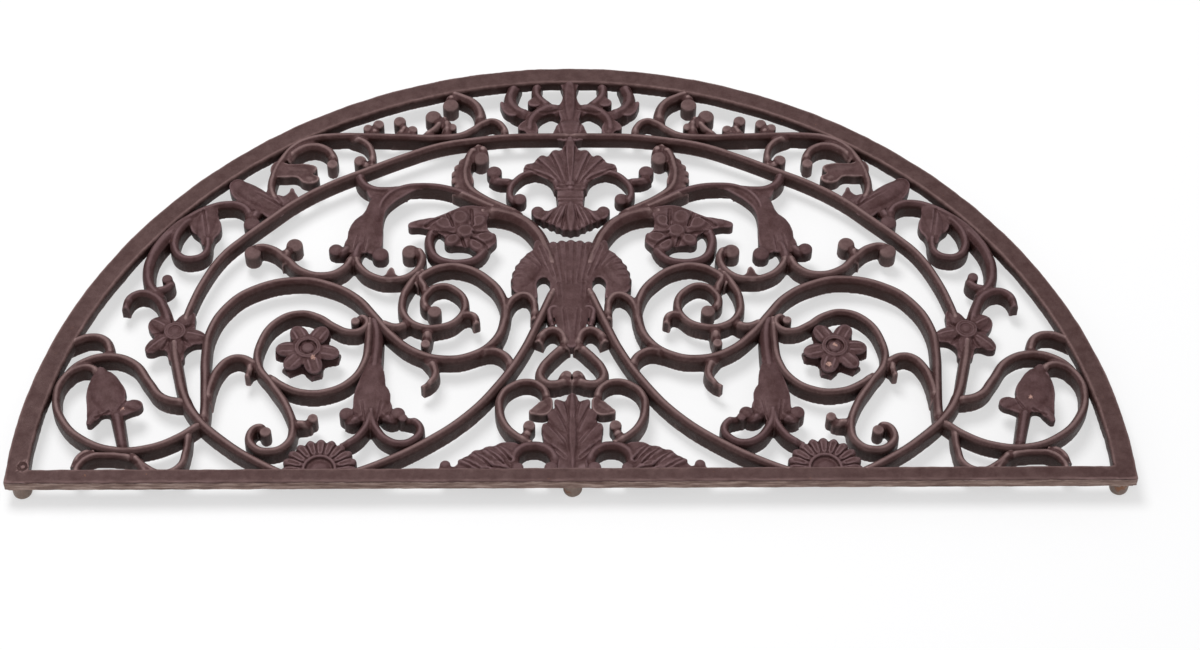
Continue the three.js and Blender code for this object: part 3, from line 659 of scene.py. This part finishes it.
def half_daisy():
    middle = (168, RAIL_DEPTH)
    turns = range(0, 181, 18)
    star(middle, 25, 23, 20, LEAF_BOTTOM, LEAF_TOP - 1.8)
    for turn in turns:
        knob(towards(middle, turn, 22.3), 3.3, LEAF_BOTTOM, LEAF_TOP - 1.2)
        lobe(towards(middle, turn, 17.5), 16, 7, turn, LEAF_TOP - 2.2, 2.6)
    knob(middle, 9.5, LEAF_BOTTOM, LEAF_TOP)
    bead_ring(middle, 10.5, 1.3, LEAF_TOP - 0.6)
    piece = cast("half_daisy_casting", LEAF_GRAIN)
    grooves(piece, [(towards(middle, turn, 12), towards(middle, turn, 25))
                    for turn in range(9, 180, 18)], 1.8, 1.8)
    grooves(piece, [(towards(middle, turn, 15), towards(middle, turn, 21)) for turn in turns], 3, 1)
    trim(piece, (0, RAIL_DEPTH - 3, 0), (0, -1, 0))
    return piece


def upper_rosette():
    plate([(58, 238), (66, 241.5), (76, 241.5), (84, 238), (92, 233.5), (101, 229.5), (109, 228.5),
           (116, 223), (107, 221), (99.5, 219), (94, 217), (90, 213), (89.5, 206.5), (87, 204),
           (80, 204), (73, 203), (67, 199), (60, 201), (55, 205), (52.5, 210), (55, 215.5),
           (58.5, 219), (59.5, 224), (59, 231)])
    bar([(60, 206), (62.5, 198), (68, 192), (76, 189.5), (87, 190), (95.5, 194.5), (99.5, 203),
         (100, 213), (96, 222)], RING, RING, LEAF_BOTTOM, LEAF_TOP + 0.4)
    lobe((75, 217), 13, 12, 0, LEAF_TOP - 0.6, 2.4)
    for x, y, length, width, turn in ((79, 229.5, 16, 14, 80), (66, 226, 14, 11, 130),
                                      (90, 224, 17, 12, 25), (61, 211, 17, 11, 165),
                                      (67, 204, 14, 10, 230), (84, 209, 13, 10, -40)):
        lobe((x, y), length, width, turn, LEAF_TOP - 1.6, 3.4)
    lobe((101, 226), 19, 7, -12, LEAF_TOP - 1.4, 2.6)
    piece = cast("upper_rosette_casting", LEAF_GRAIN)
    grooves(piece, [((70, 223), (71, 237)), ((84, 222), (88, 234)), ((69, 216), (56, 216)),
                    ((83, 215), (97, 217)), ((70, 211), (60, 203)), ((77, 210), (75, 203)),
                    ((94, 229), (103, 222))], 3.4, 2.4)
    return piece


def tulip():
    thin = LEAF_TOP - 8
    plate([(321, 96), (313, 91), (306, 84), (302, 77), (300.5, 69), (296, 70), (290, 67),
           (290.5, 62), (297, 58.5), (303, 56), (310, 57), (316, 57), (319, 53), (325, 48.5),
           (326, 54), (327, 63), (328.5, 75), (326.5, 87)], bottom=thin)
    lobe((315, 76), 40, 23, 72, LEAF_TOP - 2.2, 3.6)
    lobe((319, 89), 18, 9, 70, LEAF_TOP - 1.6, 2.4)
    lobe((296.5, 64.5), 13, 7.5, 20, LEAF_TOP - 1.4, 2)
    lobe((322, 55), 14, 6, 115, LEAF_TOP - 1.4, 1.8)
    bar([(307.5, 62), (303, 44), (299, 27)], 8.5, RING)
    piece = cast("tulip_casting", LEAF_GRAIN)
    grooves(piece, [((300.5, 69), (306, 59)), ((312, 59), (320, 54))], 2.4, 1.2)
    return piece


def lower_bell():
    bar([(138, 142), (134.5, 128), (134, 112), (135.5, 90)], RING, 10)
    plate([(131.5, 106), (131, 94), (130, 84), (126.5, 76), (123.5, 69), (121.5, 62), (123.5, 58.5),
           (129, 57), (132, 50), (139, 50), (142, 56), (147, 58.5), (148, 66), (147.5, 75),
           (145, 85), (141.5, 96), (139, 106)])
    lobe((135.5, 78), 50, 18, 92, LEAF_TOP - 1.8, 2.8)
    lobe((135, 70), 30, 25, 95, LEAF_TOP - 1.8, 2.6)
    bar([(128, 58), (123, 53.5), (118, 54)], RING)
    knob((117.5, 57), 5)
    bar([(142, 57), (147.5, 52), (152, 54)], RING)
    knob((152, 57), 5)
    bar([(135.5, 66), (135, 54), (131, 43.5), (124, 35.5), (114.5, 32.5), (106, 36), (102, 43),
         (105, 50), (112, 52.5)], RING, HOOK)
    knob((114, 53), 3.2)
    bar([(136, 62), (137, 51), (141, 42), (147, 35), (155, 31)], RING, HOOK)
    piece = cast("lower_bell_casting", LEAF_GRAIN)
    grooves(piece, [((131.5, 50), (129, 66)), ((139.5, 50), (142, 66))], 2, 1)
    return piece


def upper_bell():
    plate([(104, 260), (122, 259.5), (133, 257), (141, 258), (146, 260), (145.5, 252), (142.5, 246),
           (147, 237), (152.5, 227), (157.5, 214), (160.5, 204), (158, 199.5), (152, 198), (147, 200.5),
           (142, 197.5), (137, 197), (134, 203), (133.5, 216), (133.5, 229), (131.5, 238),
           (126, 245.5), (119, 251.5), (112, 256.5)])
    lobe((141, 232), 44, 13, 98, LEAF_TOP - 1.8, 2.8)
    lobe((146, 216), 38, 25, 100, LEAF_TOP - 1.8, 2.6)
    knob((134.5, 196.5), ROLL, LEAF_BOTTOM)
    knob((166, 200.5), ROLL - 0.8, LEAF_BOTTOM)
    bar([(167, 199), (161, 199), (156, 207)], RING, RING, LEAF_BOTTOM)
    bar([(145, 212), (151, 200), (152.5, 188)], 9, RING, LEAF_BOTTOM)
    bar([(66, 246), (83, 256), (106, 260.5), (124, 257), (134, 247), (138, 232)], RING, TIP + 1)
    bar([(118, 258.5), (132, 256.5), (143, 258), (150, 264), (153, 275)], RING)
    piece = cast("upper_bell_casting", LEAF_GRAIN)
    grooves(piece, [((146.5, 200), (145, 212)), ((153, 200), (150.5, 213))], 2, 0.9)
    return piece


def border_loop():
    plate([(203, 238), (208, 248), (216, 252), (224, 257), (233, 264), (240, 267.5), (245, 264),
           (245, 257), (240, 248), (232, 242), (222, 236), (212, 230)])
    plate([(195, 247), (198, 255), (200.5, 259), (202.5, 254.5), (207.5, 251), (212, 253.5),
           (216, 261), (218.5, 255), (217, 246), (210, 240), (202, 240)])
    lobe((226, 251), 44, 15, 38, LEAF_TOP - 1.4, 2.8)
    lobe((209, 247), 18, 9, 20, LEAF_TOP - 1.4, 2.2)
    bar([(229, 229), (230, 236), (236, 242), (246, 243.5), (259, 239.5), (271, 231.5), (283, 220),
         (293, 203), (297, 188)], RING, RING)
    bar([(222, 240), (225, 233), (227, 226)], RING)
    knob((227, 225), ROLL)
    plate([(254, 241), (251, 231), (248.5, 224), (249, 217), (252, 212.5), (255, 205), (259.5, 205),
           (263.5, 213), (269, 218.5), (270.5, 224), (268, 231), (263, 238)])
    lobe((259, 226), 32, 13, 98, LEAF_TOP - 1.4, 2.6)
    bar([(258, 215), (256.5, 204), (258.5, 197), (266, 193), (274.5, 194.5), (279.5, 202), (280, 212),
         (276.5, 222), (268, 232)], HOOK, RING)
    bar([(287, 209), (282, 219), (272, 229)], 9, RING)
    piece = cast("border_loop_casting", LEAF_GRAIN)
    grooves(piece, [((205, 240), (228, 254)), ((262, 236), (257.5, 213)), ((213, 252), (207, 243))],
            2.6, 1.1)
    return piece


def bottom_acanthus():
    plate(both_sides([(0, 74), (3, 72), (5, 67.5), (9, 68), (11, 65), (11, 61), (15.5, 61),
                      (17, 57), (16.5, 50.5), (20, 48), (20.5, 43), (19.5, 36), (18.5, 31), (13, 27),
                      (10, 20), (9, 5)]))
    scallops([(8.3, 65.5), (14.2, 58.5), (17.8, 45)], 3.2)
    for x, y, length, turn in ((6, 57, 26, 66), (9.5, 49, 26, 56), (12, 38, 24, 45), (8, 26, 22, 60)):
        lobe((x, y), length, 8.5, turn, LEAF_TOP - 1.4, 2)
    mirror_bench()
    lobe((0, 42), 64, 6, 90, LEAF_TOP - 1, 2.4)
    piece = cast("bottom_acanthus_casting", LEAF_GRAIN)
    veins = [((5.5, 70), (2.2, 52)), ((11.5, 62.5), (3.2, 42)), ((17.5, 50), (4.2, 31)),
             ((19, 34), (5, 20))]
    grooves(piece, veins + mirrored_lines(veins), 2.4, 1.1)
    return piece


def foot_leaf():
    plate([(36, 4), (38, 12), (39, 22), (36, 31), (43, 33.5), (49, 32.5), (52, 30.5), (58, 29.5),
           (61, 27.5), (66, 26.5), (69, 23), (73, 20.5), (76, 16.5), (80, 13.5), (82, 17.5),
           (85, 18.5), (88, 15), (88.5, 4)])
    scallops([(46.5, 30), (55, 27.3), (63.5, 24), (71, 18.5)], 3.6)
    for x, y, turn in ((45, 24, 35), (53, 21.5, 30), (61, 19, 25), (68, 15.5, 15), (50, 14, 20),
                       (60, 11.5, 8)):
        lobe((x, y), 18, 7, turn, LEAF_TOP - 1.4, 2.8)
    knob((84.8, 15), 3.6, LEAF_BOTTOM, LEAF_TOP)
    bar([(37.5, 11), (39.5, 20), (35.5, 27.5), (27, 30.5), (18, 28.5), (12.5, 22), (11.5, 13)], 8, 7)
    knob((14.5, 12), 4.6)
    knob((36.5, 12), 4)
    piece = cast("foot_leaf_casting", LEAF_GRAIN)
    grooves(piece, [((41, 18), (50, 29)), ((46, 15), (58, 27)), ((54, 13), (66, 24)),
                    ((62, 11), (73, 18)), ((42, 10), (56, 13)), ((56, 10), (76, 10))], 2.4, 1.8)
    return piece


# The frame and the feet.
def frame_section(slope=0.0, flare=0.0):
    """The section of the frame, of width 1: the outer edge may slope in and the inner foot flare out."""
    deep = FRAME_TOP - FRAME_BOTTOM
    half = 0.5
    return [(-half, -deep), (-half, -0.4 * deep), (-half + 0.35 * slope, -1.4), (-half + 0.04 + slope, 0),
            (half - 0.04, 0), (half, -0.7), (half + flare, -deep)]


def frame_bar(route, width, slope=0.0, flare=0.0):
    line = draw_line(route, False, 0)
    bpy.ops.curve.primitive_bezier_circle_add(radius=1)
    outline = bpy.context.object
    outline.data.splines.clear()
    path = outline.data.splines.new("POLY")
    corners = frame_section(slope, flare)
    path.points.add(len(corners) - 1)
    for point, (across, down) in zip(path.points, corners):
        point.co = (across * width, down, 0, 1)
    path.use_cyclic_u = True
    line.data.bevel_mode = "OBJECT"
    line.data.bevel_object = outline
    line.data.use_fill_caps = True
    line.location.z = FRAME_TOP
    only(line)
    lay_on_bench()
    bpy.data.objects.remove(outline)


def rim_and_rail():
    middle = MAT_RADIUS - RIM_WIDTH / 2
    turns = range(0, 181, 6)
    frame_bar([(middle * cos(radians(turn)), middle * sin(radians(turn))) for turn in turns], RIM_WIDTH,
              slope=0.05, flare=0.07)
    depth = RAIL_DEPTH / 2
    frame_bar([(-MAT_RADIUS + 2, depth), (0, depth), (MAT_RADIUS - 2, depth)], RAIL_DEPTH)
    piece = cast("frame_casting", BAR_GRAIN, keep=0.3)
    mark = (-MAT_RADIUS + 11.5, 13)
    ring = [towards(mark, turn, 2.6) for turn in range(0, 361, 40)]
    grooves(piece, list(zip(ring, ring[1:])), 2, 1.5)
    waver(piece, 14, 0.9)
    return piece


def waver(piece, size, strength):
    """The slight unevenness of a sand casting."""
    only(piece)
    sand = bpy.data.textures.new(piece.name + "_sand", "CLOUDS")
    sand.noise_scale = size
    rough = piece.modifiers.new("waver", "DISPLACE")
    rough.texture = sand
    rough.texture_coords = "LOCAL"
    rough.strength = strength
    rough.mid_level = 0.5
    bpy.ops.object.modifier_apply(modifier=rough.name)


def keep_in_box(piece):
    """Holds the outer faces where the part has them."""
    for corner in piece.data.vertices:
        x, y, z = corner.co
        reach = (x * x + y * y) ** 0.5
        if reach > MAT_RADIUS:
            corner.co.x *= MAT_RADIUS / reach
            corner.co.y *= MAT_RADIUS / reach
        corner.co.y = max(corner.co.y, 0)
        corner.co.z = min(max(corner.co.z, 0), FRAME_TOP)


def foot(place):
    """A short peg, cast on under the frame, with a rounded end."""
    x, y = place
    bpy.ops.mesh.primitive_cylinder_add(vertices=24, radius=FOOT_RADIUS, depth=FRAME_BOTTOM + 1,
                                        location=(x, y, (FRAME_BOTTOM + 1) / 2))
    bpy.ops.object.mode_set(mode="EDIT")
    bpy.ops.mesh.select_mode(type="FACE")
    bpy.ops.mesh.select_all(action="DESELECT")
    bpy.ops.object.mode_set(mode="OBJECT")
    peg = bpy.context.object
    for face in peg.data.polygons:
        face.select = face.normal.z < -0.9
    bpy.ops.object.mode_set(mode="EDIT")
    bpy.ops.mesh.bevel(offset=2.8, segments=6, profile=0.5, affect="EDGES")
    bpy.ops.object.mode_set(mode="OBJECT")
    lay_on_bench()
    piece = cast("foot_casting", 0.6)
    waver(piece, 6, 0.5)
    return piece


def foot_places():
    reach = MAT_RADIUS - FOOT_SETBACK
    corner = MAT_RADIUS - FOOT_INSET
    return {
        "foot_front_left": (-corner, FOOT_SETBACK),
        "foot_front_middle": (0, FOOT_SETBACK),
        "foot_front_right": (corner, FOOT_SETBACK),
        "foot_back_left": towards((0, 0), 90 + BACK_FOOT_SPREAD, reach),
        "foot_back_middle": towards((0, 0), 90, reach),
        "foot_back_right": towards((0, 0), 90 - BACK_FOOT_SPREAD, reach),
    }


# Finishes.
def add_node(tree, kind, **settings):
    node = tree.nodes.new(kind)
    for key, value in settings.items():
        setattr(node, key, value)
    return node


def noise(tree, place, scale, detail, roughness=0.6):
    node = add_node(tree, "ShaderNodeTexNoise")
    node.inputs["Scale"].default_value = scale
    node.inputs["Detail"].default_value = detail
    node.inputs["Roughness"].default_value = roughness
    tree.links.new(place, node.inputs["Vector"])
    return node.outputs["Fac"]


def ramp(tree, value, stops):
    node = add_node(tree, "ShaderNodeValToRGB")
    while len(node.color_ramp.elements) < len(stops):
        node.color_ramp.elements.new(0.5)
    for element, (position, colour) in zip(node.color_ramp.elements, stops):
        element.position = position
        element.color = (*colour, 1)
    tree.links.new(value, node.inputs["Fac"])
    return node.outputs["Color"]


def blend_colours(tree, share, first, second):
    node = add_node(tree, "ShaderNodeMix", data_type="RGBA")
    tree.links.new(share, node.inputs["Factor"])
    for colour, socket in ((first, node.inputs[6]), (second, node.inputs[7])):
        if isinstance(colour, tuple):
            socket.default_value = (*colour, 1)
        else:
            tree.links.new(colour, socket)
    return node.outputs[2]


def iron_paint(name, dark, fair, painted_side_shade, edge, wear_from):
    """Satin paint over cast iron: mottled, with painted shade down its sides and a painted highlight,
    partly rubbed paint, on its raised edges.
    """
    material = bpy.data.materials.new(name)
    material.use_nodes = True
    tree = material.node_tree
    shader = tree.nodes["Principled BSDF"]
    texture = add_node(tree, "ShaderNodeTexCoord")
    place = texture.outputs["Object"]
    facing = add_node(tree, "ShaderNodeSeparateXYZ")
    tree.links.new(texture.outputs["Normal"], facing.inputs[0])
    colour = ramp(tree, noise(tree, place, 110, 8, 0.75), [(0.38, dark), (0.62, fair)])
    # Painted shade: the more a face turns from straight up, the more it takes the darker side colour.
    upward = ramp(tree, facing.outputs["Z"], [(0.25, (0, 0, 0)), (0.85, (1, 1, 1))])
    colour = blend_colours(tree, upward, painted_side_shade, colour)
    # Painted highlight along the crests, partly rubbed paint: the sharpest convex edges take the pale
    # edge colour.
    raised = add_node(tree, "ShaderNodeNewGeometry").outputs["Pointiness"]
    colour = blend_colours(tree, ramp(tree, raised, [(0.506, (0, 0, 0)), (0.54, (1, 1, 1))]), colour,
                           edge)
    spots = noise(tree, place, 120, 8, 0.7)
    rubbed = ramp(tree, spots, [(wear_from, (0, 0, 0)), (wear_from + 0.04, (1, 1, 1))])
    colour = blend_colours(tree, rubbed, colour, RUST)
    tree.links.new(colour, shader.inputs["Base Color"])
    sheen = ramp(tree, noise(tree, place, 90, 4), [(0.3, (0.34,) * 3), (0.7, (0.55,) * 3)])
    tree.links.new(sheen, shader.inputs["Roughness"])
    shader.inputs["Specular IOR Level"].default_value = 0.2
    shader.inputs["Specular Tint"].default_value = (1, 0.74, 0.72, 1)
    bump = add_node(tree, "ShaderNodeBump")
    bump.inputs["Strength"].default_value = 0.5
    bump.inputs["Distance"].default_value = 0.0008
    tree.links.new(noise(tree, place, 600, 6, 0.7), bump.inputs["Height"])
    tree.links.new(bump.outputs["Normal"], shader.inputs["Normal"])
    return material


def bare_front(material):
    """The front of the rail has lost its paint: pale, streaked metal with rust in it."""
    tree = material.node_tree
    shader = tree.nodes["Principled BSDF"]
    painted = shader.inputs["Base Color"].links[0].from_socket
    texture = add_node(tree, "ShaderNodeTexCoord")
    where = add_node(tree, "ShaderNodeSeparateXYZ")
    tree.links.new(texture.outputs["Object"], where.inputs[0])
    in_front = add_node(tree, "ShaderNodeMath", operation="LESS_THAN")
    tree.links.new(where.outputs["Y"], in_front.inputs[0])
    in_front.inputs[1].default_value = (0.5 - MAT_RADIUS / 2) * MILLIMETRE
    paint_end = add_node(tree, "ShaderNodeMath", operation="MULTIPLY_ADD")
    tree.links.new(noise(tree, texture.outputs["Object"], 90, 4), paint_end.inputs[0])
    paint_end.inputs[1].default_value = 3 * MILLIMETRE
    tree.links.new(where.outputs["Z"], paint_end.inputs[2])
    below = add_node(tree, "ShaderNodeMath", operation="LESS_THAN")
    tree.links.new(paint_end.outputs[0], below.inputs[0])
    below.inputs[1].default_value = FRAME_TOP * MILLIMETRE
    lost = add_node(tree, "ShaderNodeMath", operation="MULTIPLY")
    tree.links.new(in_front.outputs[0], lost.inputs[0])
    tree.links.new(below.outputs[0], lost.inputs[1])
    stretched = add_node(tree, "ShaderNodeVectorMath", operation="MULTIPLY")
    stretched.inputs[1].default_value = (60, 60, 420)
    tree.links.new(texture.outputs["Object"], stretched.inputs[0])
    streaks = noise(tree, stretched.outputs[0], 1, 6, 0.7)
    bare = ramp(tree, streaks, [(0.32, (0.095, 0.050, 0.040)), (0.5, (0.22, 0.145, 0.12)),
                                (0.68, (0.42, 0.31, 0.27))])
    tree.links.new(blend_colours(tree, lost.outputs[0], painted, bare), shader.inputs["Base Color"])


def chips(material, places, radius):
    """Small chips in the paint, where a flower has been knocked."""
    tree = material.node_tree
    shader = tree.nodes["Principled BSDF"]
    place = add_node(tree, "ShaderNodeTexCoord").outputs["Object"]
    grain = noise(tree, place, 700, 4)
    for x, y in places:
        away = add_node(tree, "ShaderNodeVectorMath", operation="DISTANCE")
        tree.links.new(place, away.inputs[0])
        away.inputs[1].default_value = (x * MILLIMETRE, (y - MAT_RADIUS / 2) * MILLIMETRE,
                                        LEAF_TOP * MILLIMETRE)
        near = add_node(tree, "ShaderNodeMath", operation="MULTIPLY_ADD")
        tree.links.new(away.outputs["Value"], near.inputs[0])
        near.inputs[1].default_value = -0.5 / (radius * MILLIMETRE)
        tree.links.new(grain, near.inputs[2])
        share = ramp(tree, near.outputs[0], [(0.16, (0, 0, 0)), (0.24, (1, 1, 1))])
        painted = shader.inputs["Base Color"].links[0].from_socket
        tree.links.new(blend_colours(tree, share, painted, (0.42, 0.25, 0.21)),
                       shader.inputs["Base Color"])


def plain_material(name, colour, roughness):
    material = bpy.data.materials.new(name)
    material.use_nodes = True
    shader = material.node_tree.nodes["Principled BSDF"]
    shader.inputs["Base Color"].default_value = (*colour, 1)
    shader.inputs["Roughness"].default_value = roughness
    return material


def seen_rays(tree):
    """1 for the rays that show the studio itself: the camera's, a reflection's and glass's."""
    path = add_node(tree, "ShaderNodeLightPath")
    first = add_node(tree, "ShaderNodeMath", operation="MAXIMUM")
    tree.links.new(path.outputs["Is Camera Ray"], first.inputs[0])
    tree.links.new(path.outputs["Is Glossy Ray"], first.inputs[1])
    second = add_node(tree, "ShaderNodeMath", operation="MAXIMUM")
    tree.links.new(first.outputs[0], second.inputs[0])
    tree.links.new(path.outputs["Is Transmission Ray"], second.inputs[1])
    return second.outputs[0]


def white_floor():
    """A pale floor that keeps its shadows and otherwise shows white."""
    material = plain_material("studio_floor", (0.95, 0.95, 0.96), 0.95)
    tree = material.node_tree
    white = add_node(tree, "ShaderNodeEmission")
    white.inputs["Strength"].default_value = 1
    share = add_node(tree, "ShaderNodeMath", operation="MULTIPLY")
    tree.links.new(seen_rays(tree), share.inputs[0])
    share.inputs[1].default_value = FLOOR_WHITE
    blend = add_node(tree, "ShaderNodeMixShader")
    tree.links.new(share.outputs[0], blend.inputs["Fac"])
    tree.links.new(tree.nodes["Principled BSDF"].outputs[0], blend.inputs[1])
    tree.links.new(white.outputs[0], blend.inputs[2])
    tree.links.new(blend.outputs[0], tree.nodes["Material Output"].inputs["Surface"])
    return material


RUST = (0.21, 0.095, 0.050)
# Each finish gives its mottle's dark and fair tones, the painted shade of its sides, the pale of its
# raised edges (painted highlight and rubbed paint), and where its rust spots begin.
FINISHES = {
    "frame_paint": iron_paint("frame_iron", (0.046, 0.021, 0.020), (0.080, 0.044, 0.042),
                              (0.034, 0.015, 0.013), (0.20, 0.125, 0.12), 0.68),
    "scroll_paint": iron_paint("scroll_iron", (0.042, 0.017, 0.017), (0.086, 0.045, 0.045),
                               (0.030, 0.012, 0.010), (0.25, 0.165, 0.16), 0.70),
    "leaf_paint": iron_paint("leaf_iron", (0.044, 0.018, 0.018), (0.088, 0.046, 0.048),
                             (0.030, 0.012, 0.010), (0.15, 0.09, 0.095), 0.70),
    "worn_iron": iron_paint("foot_iron", (0.11, 0.075, 0.06), (0.27, 0.21, 0.18),
                            (0.20, 0.145, 0.12), (0.34, 0.27, 0.22), 0.54),
}
bare_front(FINISHES["frame_paint"])
chips(FINISHES["leaf_paint"], [(176, 97), (181, 113), (-177, 104), (311, 68), (-303, 62)], 2.6)


# The mat. The section that all bars share is put away once they are cast. Pieces are named after
# the function that models them.
section = bar_section()
CENTRE_BARS = [inner_arch]
CENTRE_LEAVES = [shell, upper_palmette, crown, bottom_acanthus]
SIDE_BARS = [sweep_bar, ring_scroll, stem_sweep, rosette_scroll, rosette_ring, tulip_ring,
             corner_scroll, inner_hook, spiral, cross_scroll, stalk, border_scroll, heart_scroll,
             foot_scroll]
SIDE_LEAVES = [star_flower, rosette, half_daisy, upper_rosette, tulip, lower_bell, upper_bell,
               border_loop, foot_leaf]


def add_centre(model, slot):
    piece = model()
    tuck(piece)
    finish(piece, model.__name__, slot)


def add_pair(model, slot):
    piece = model()
    tuck(piece)
    right = "right_" + model.__name__
    left = "left_" + model.__name__
    finish(piece, right, slot)
    piece.name = right + "_casting"
    mirrored(piece, left + "_casting", left, slot)


casting = rim_and_rail()
finish(casting, "outer_rim", "frame_paint")
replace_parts(casting, "base_rail")
for node, place in foot_places().items():
    peg = foot(place)
    peg.name = node + "_casting"
    finish(peg, node, "worn_iron")
for model in CENTRE_BARS:
    add_centre(model, "scroll_paint")
for model in CENTRE_LEAVES:
    add_centre(model, "leaf_paint")
for model in SIDE_BARS:
    add_pair(model, "scroll_paint")
for model in SIDE_LEAVES:
    add_pair(model, "leaf_paint")
bpy.data.objects.remove(section)


# The floor, the light and the white studio round them.
bpy.ops.mesh.primitive_plane_add(size=12)
floor = bpy.context.object
floor.name = "floor"
floor_material = white_floor()
floor.data.materials.append(floor_material)


def soft_lamp(name, place, aim, size, power):
    bpy.ops.object.light_add(type="AREA", location=place)
    lamp = bpy.context.object
    lamp.name = name
    lamp.data.shape = "DISK"
    lamp.data.size = size
    lamp.data.energy = power
    lamp.rotation_euler = (Vector(aim) - Vector(place)).to_track_quat("-Z", "Y").to_euler()


soft_lamp("overhead_softbox", (-0.5, 0.6, 2.2), (0, 0, 0), 1.1, 38)
soft_lamp("front_fill", (0.8, -1.8, 1.6), (0, 0, 0), 1.2, 3)

world = bpy.data.worlds.new("studio")
bpy.context.scene.world = world
world.use_nodes = True
sky = world.node_tree
backdrop = sky.nodes["Background"]
backdrop.inputs["Color"].default_value = (1, 1, 1, 1)
backdrop.inputs["Strength"].default_value = SURROUND_LIGHT
white = add_node(sky, "ShaderNodeBackground")
white.inputs["Color"].default_value = (1, 1, 1, 1)
white.inputs["Strength"].default_value = 1
choose = add_node(sky, "ShaderNodeMixShader")
sky.links.new(seen_rays(sky), choose.inputs["Fac"])
sky.links.new(backdrop.outputs["Background"], choose.inputs[1])
sky.links.new(white.outputs["Background"], choose.inputs[2])
sky.links.new(choose.outputs["Shader"], sky.nodes["World Output"].inputs["Surface"])
bpy.context.scene.view_settings.view_transform = "Standard"
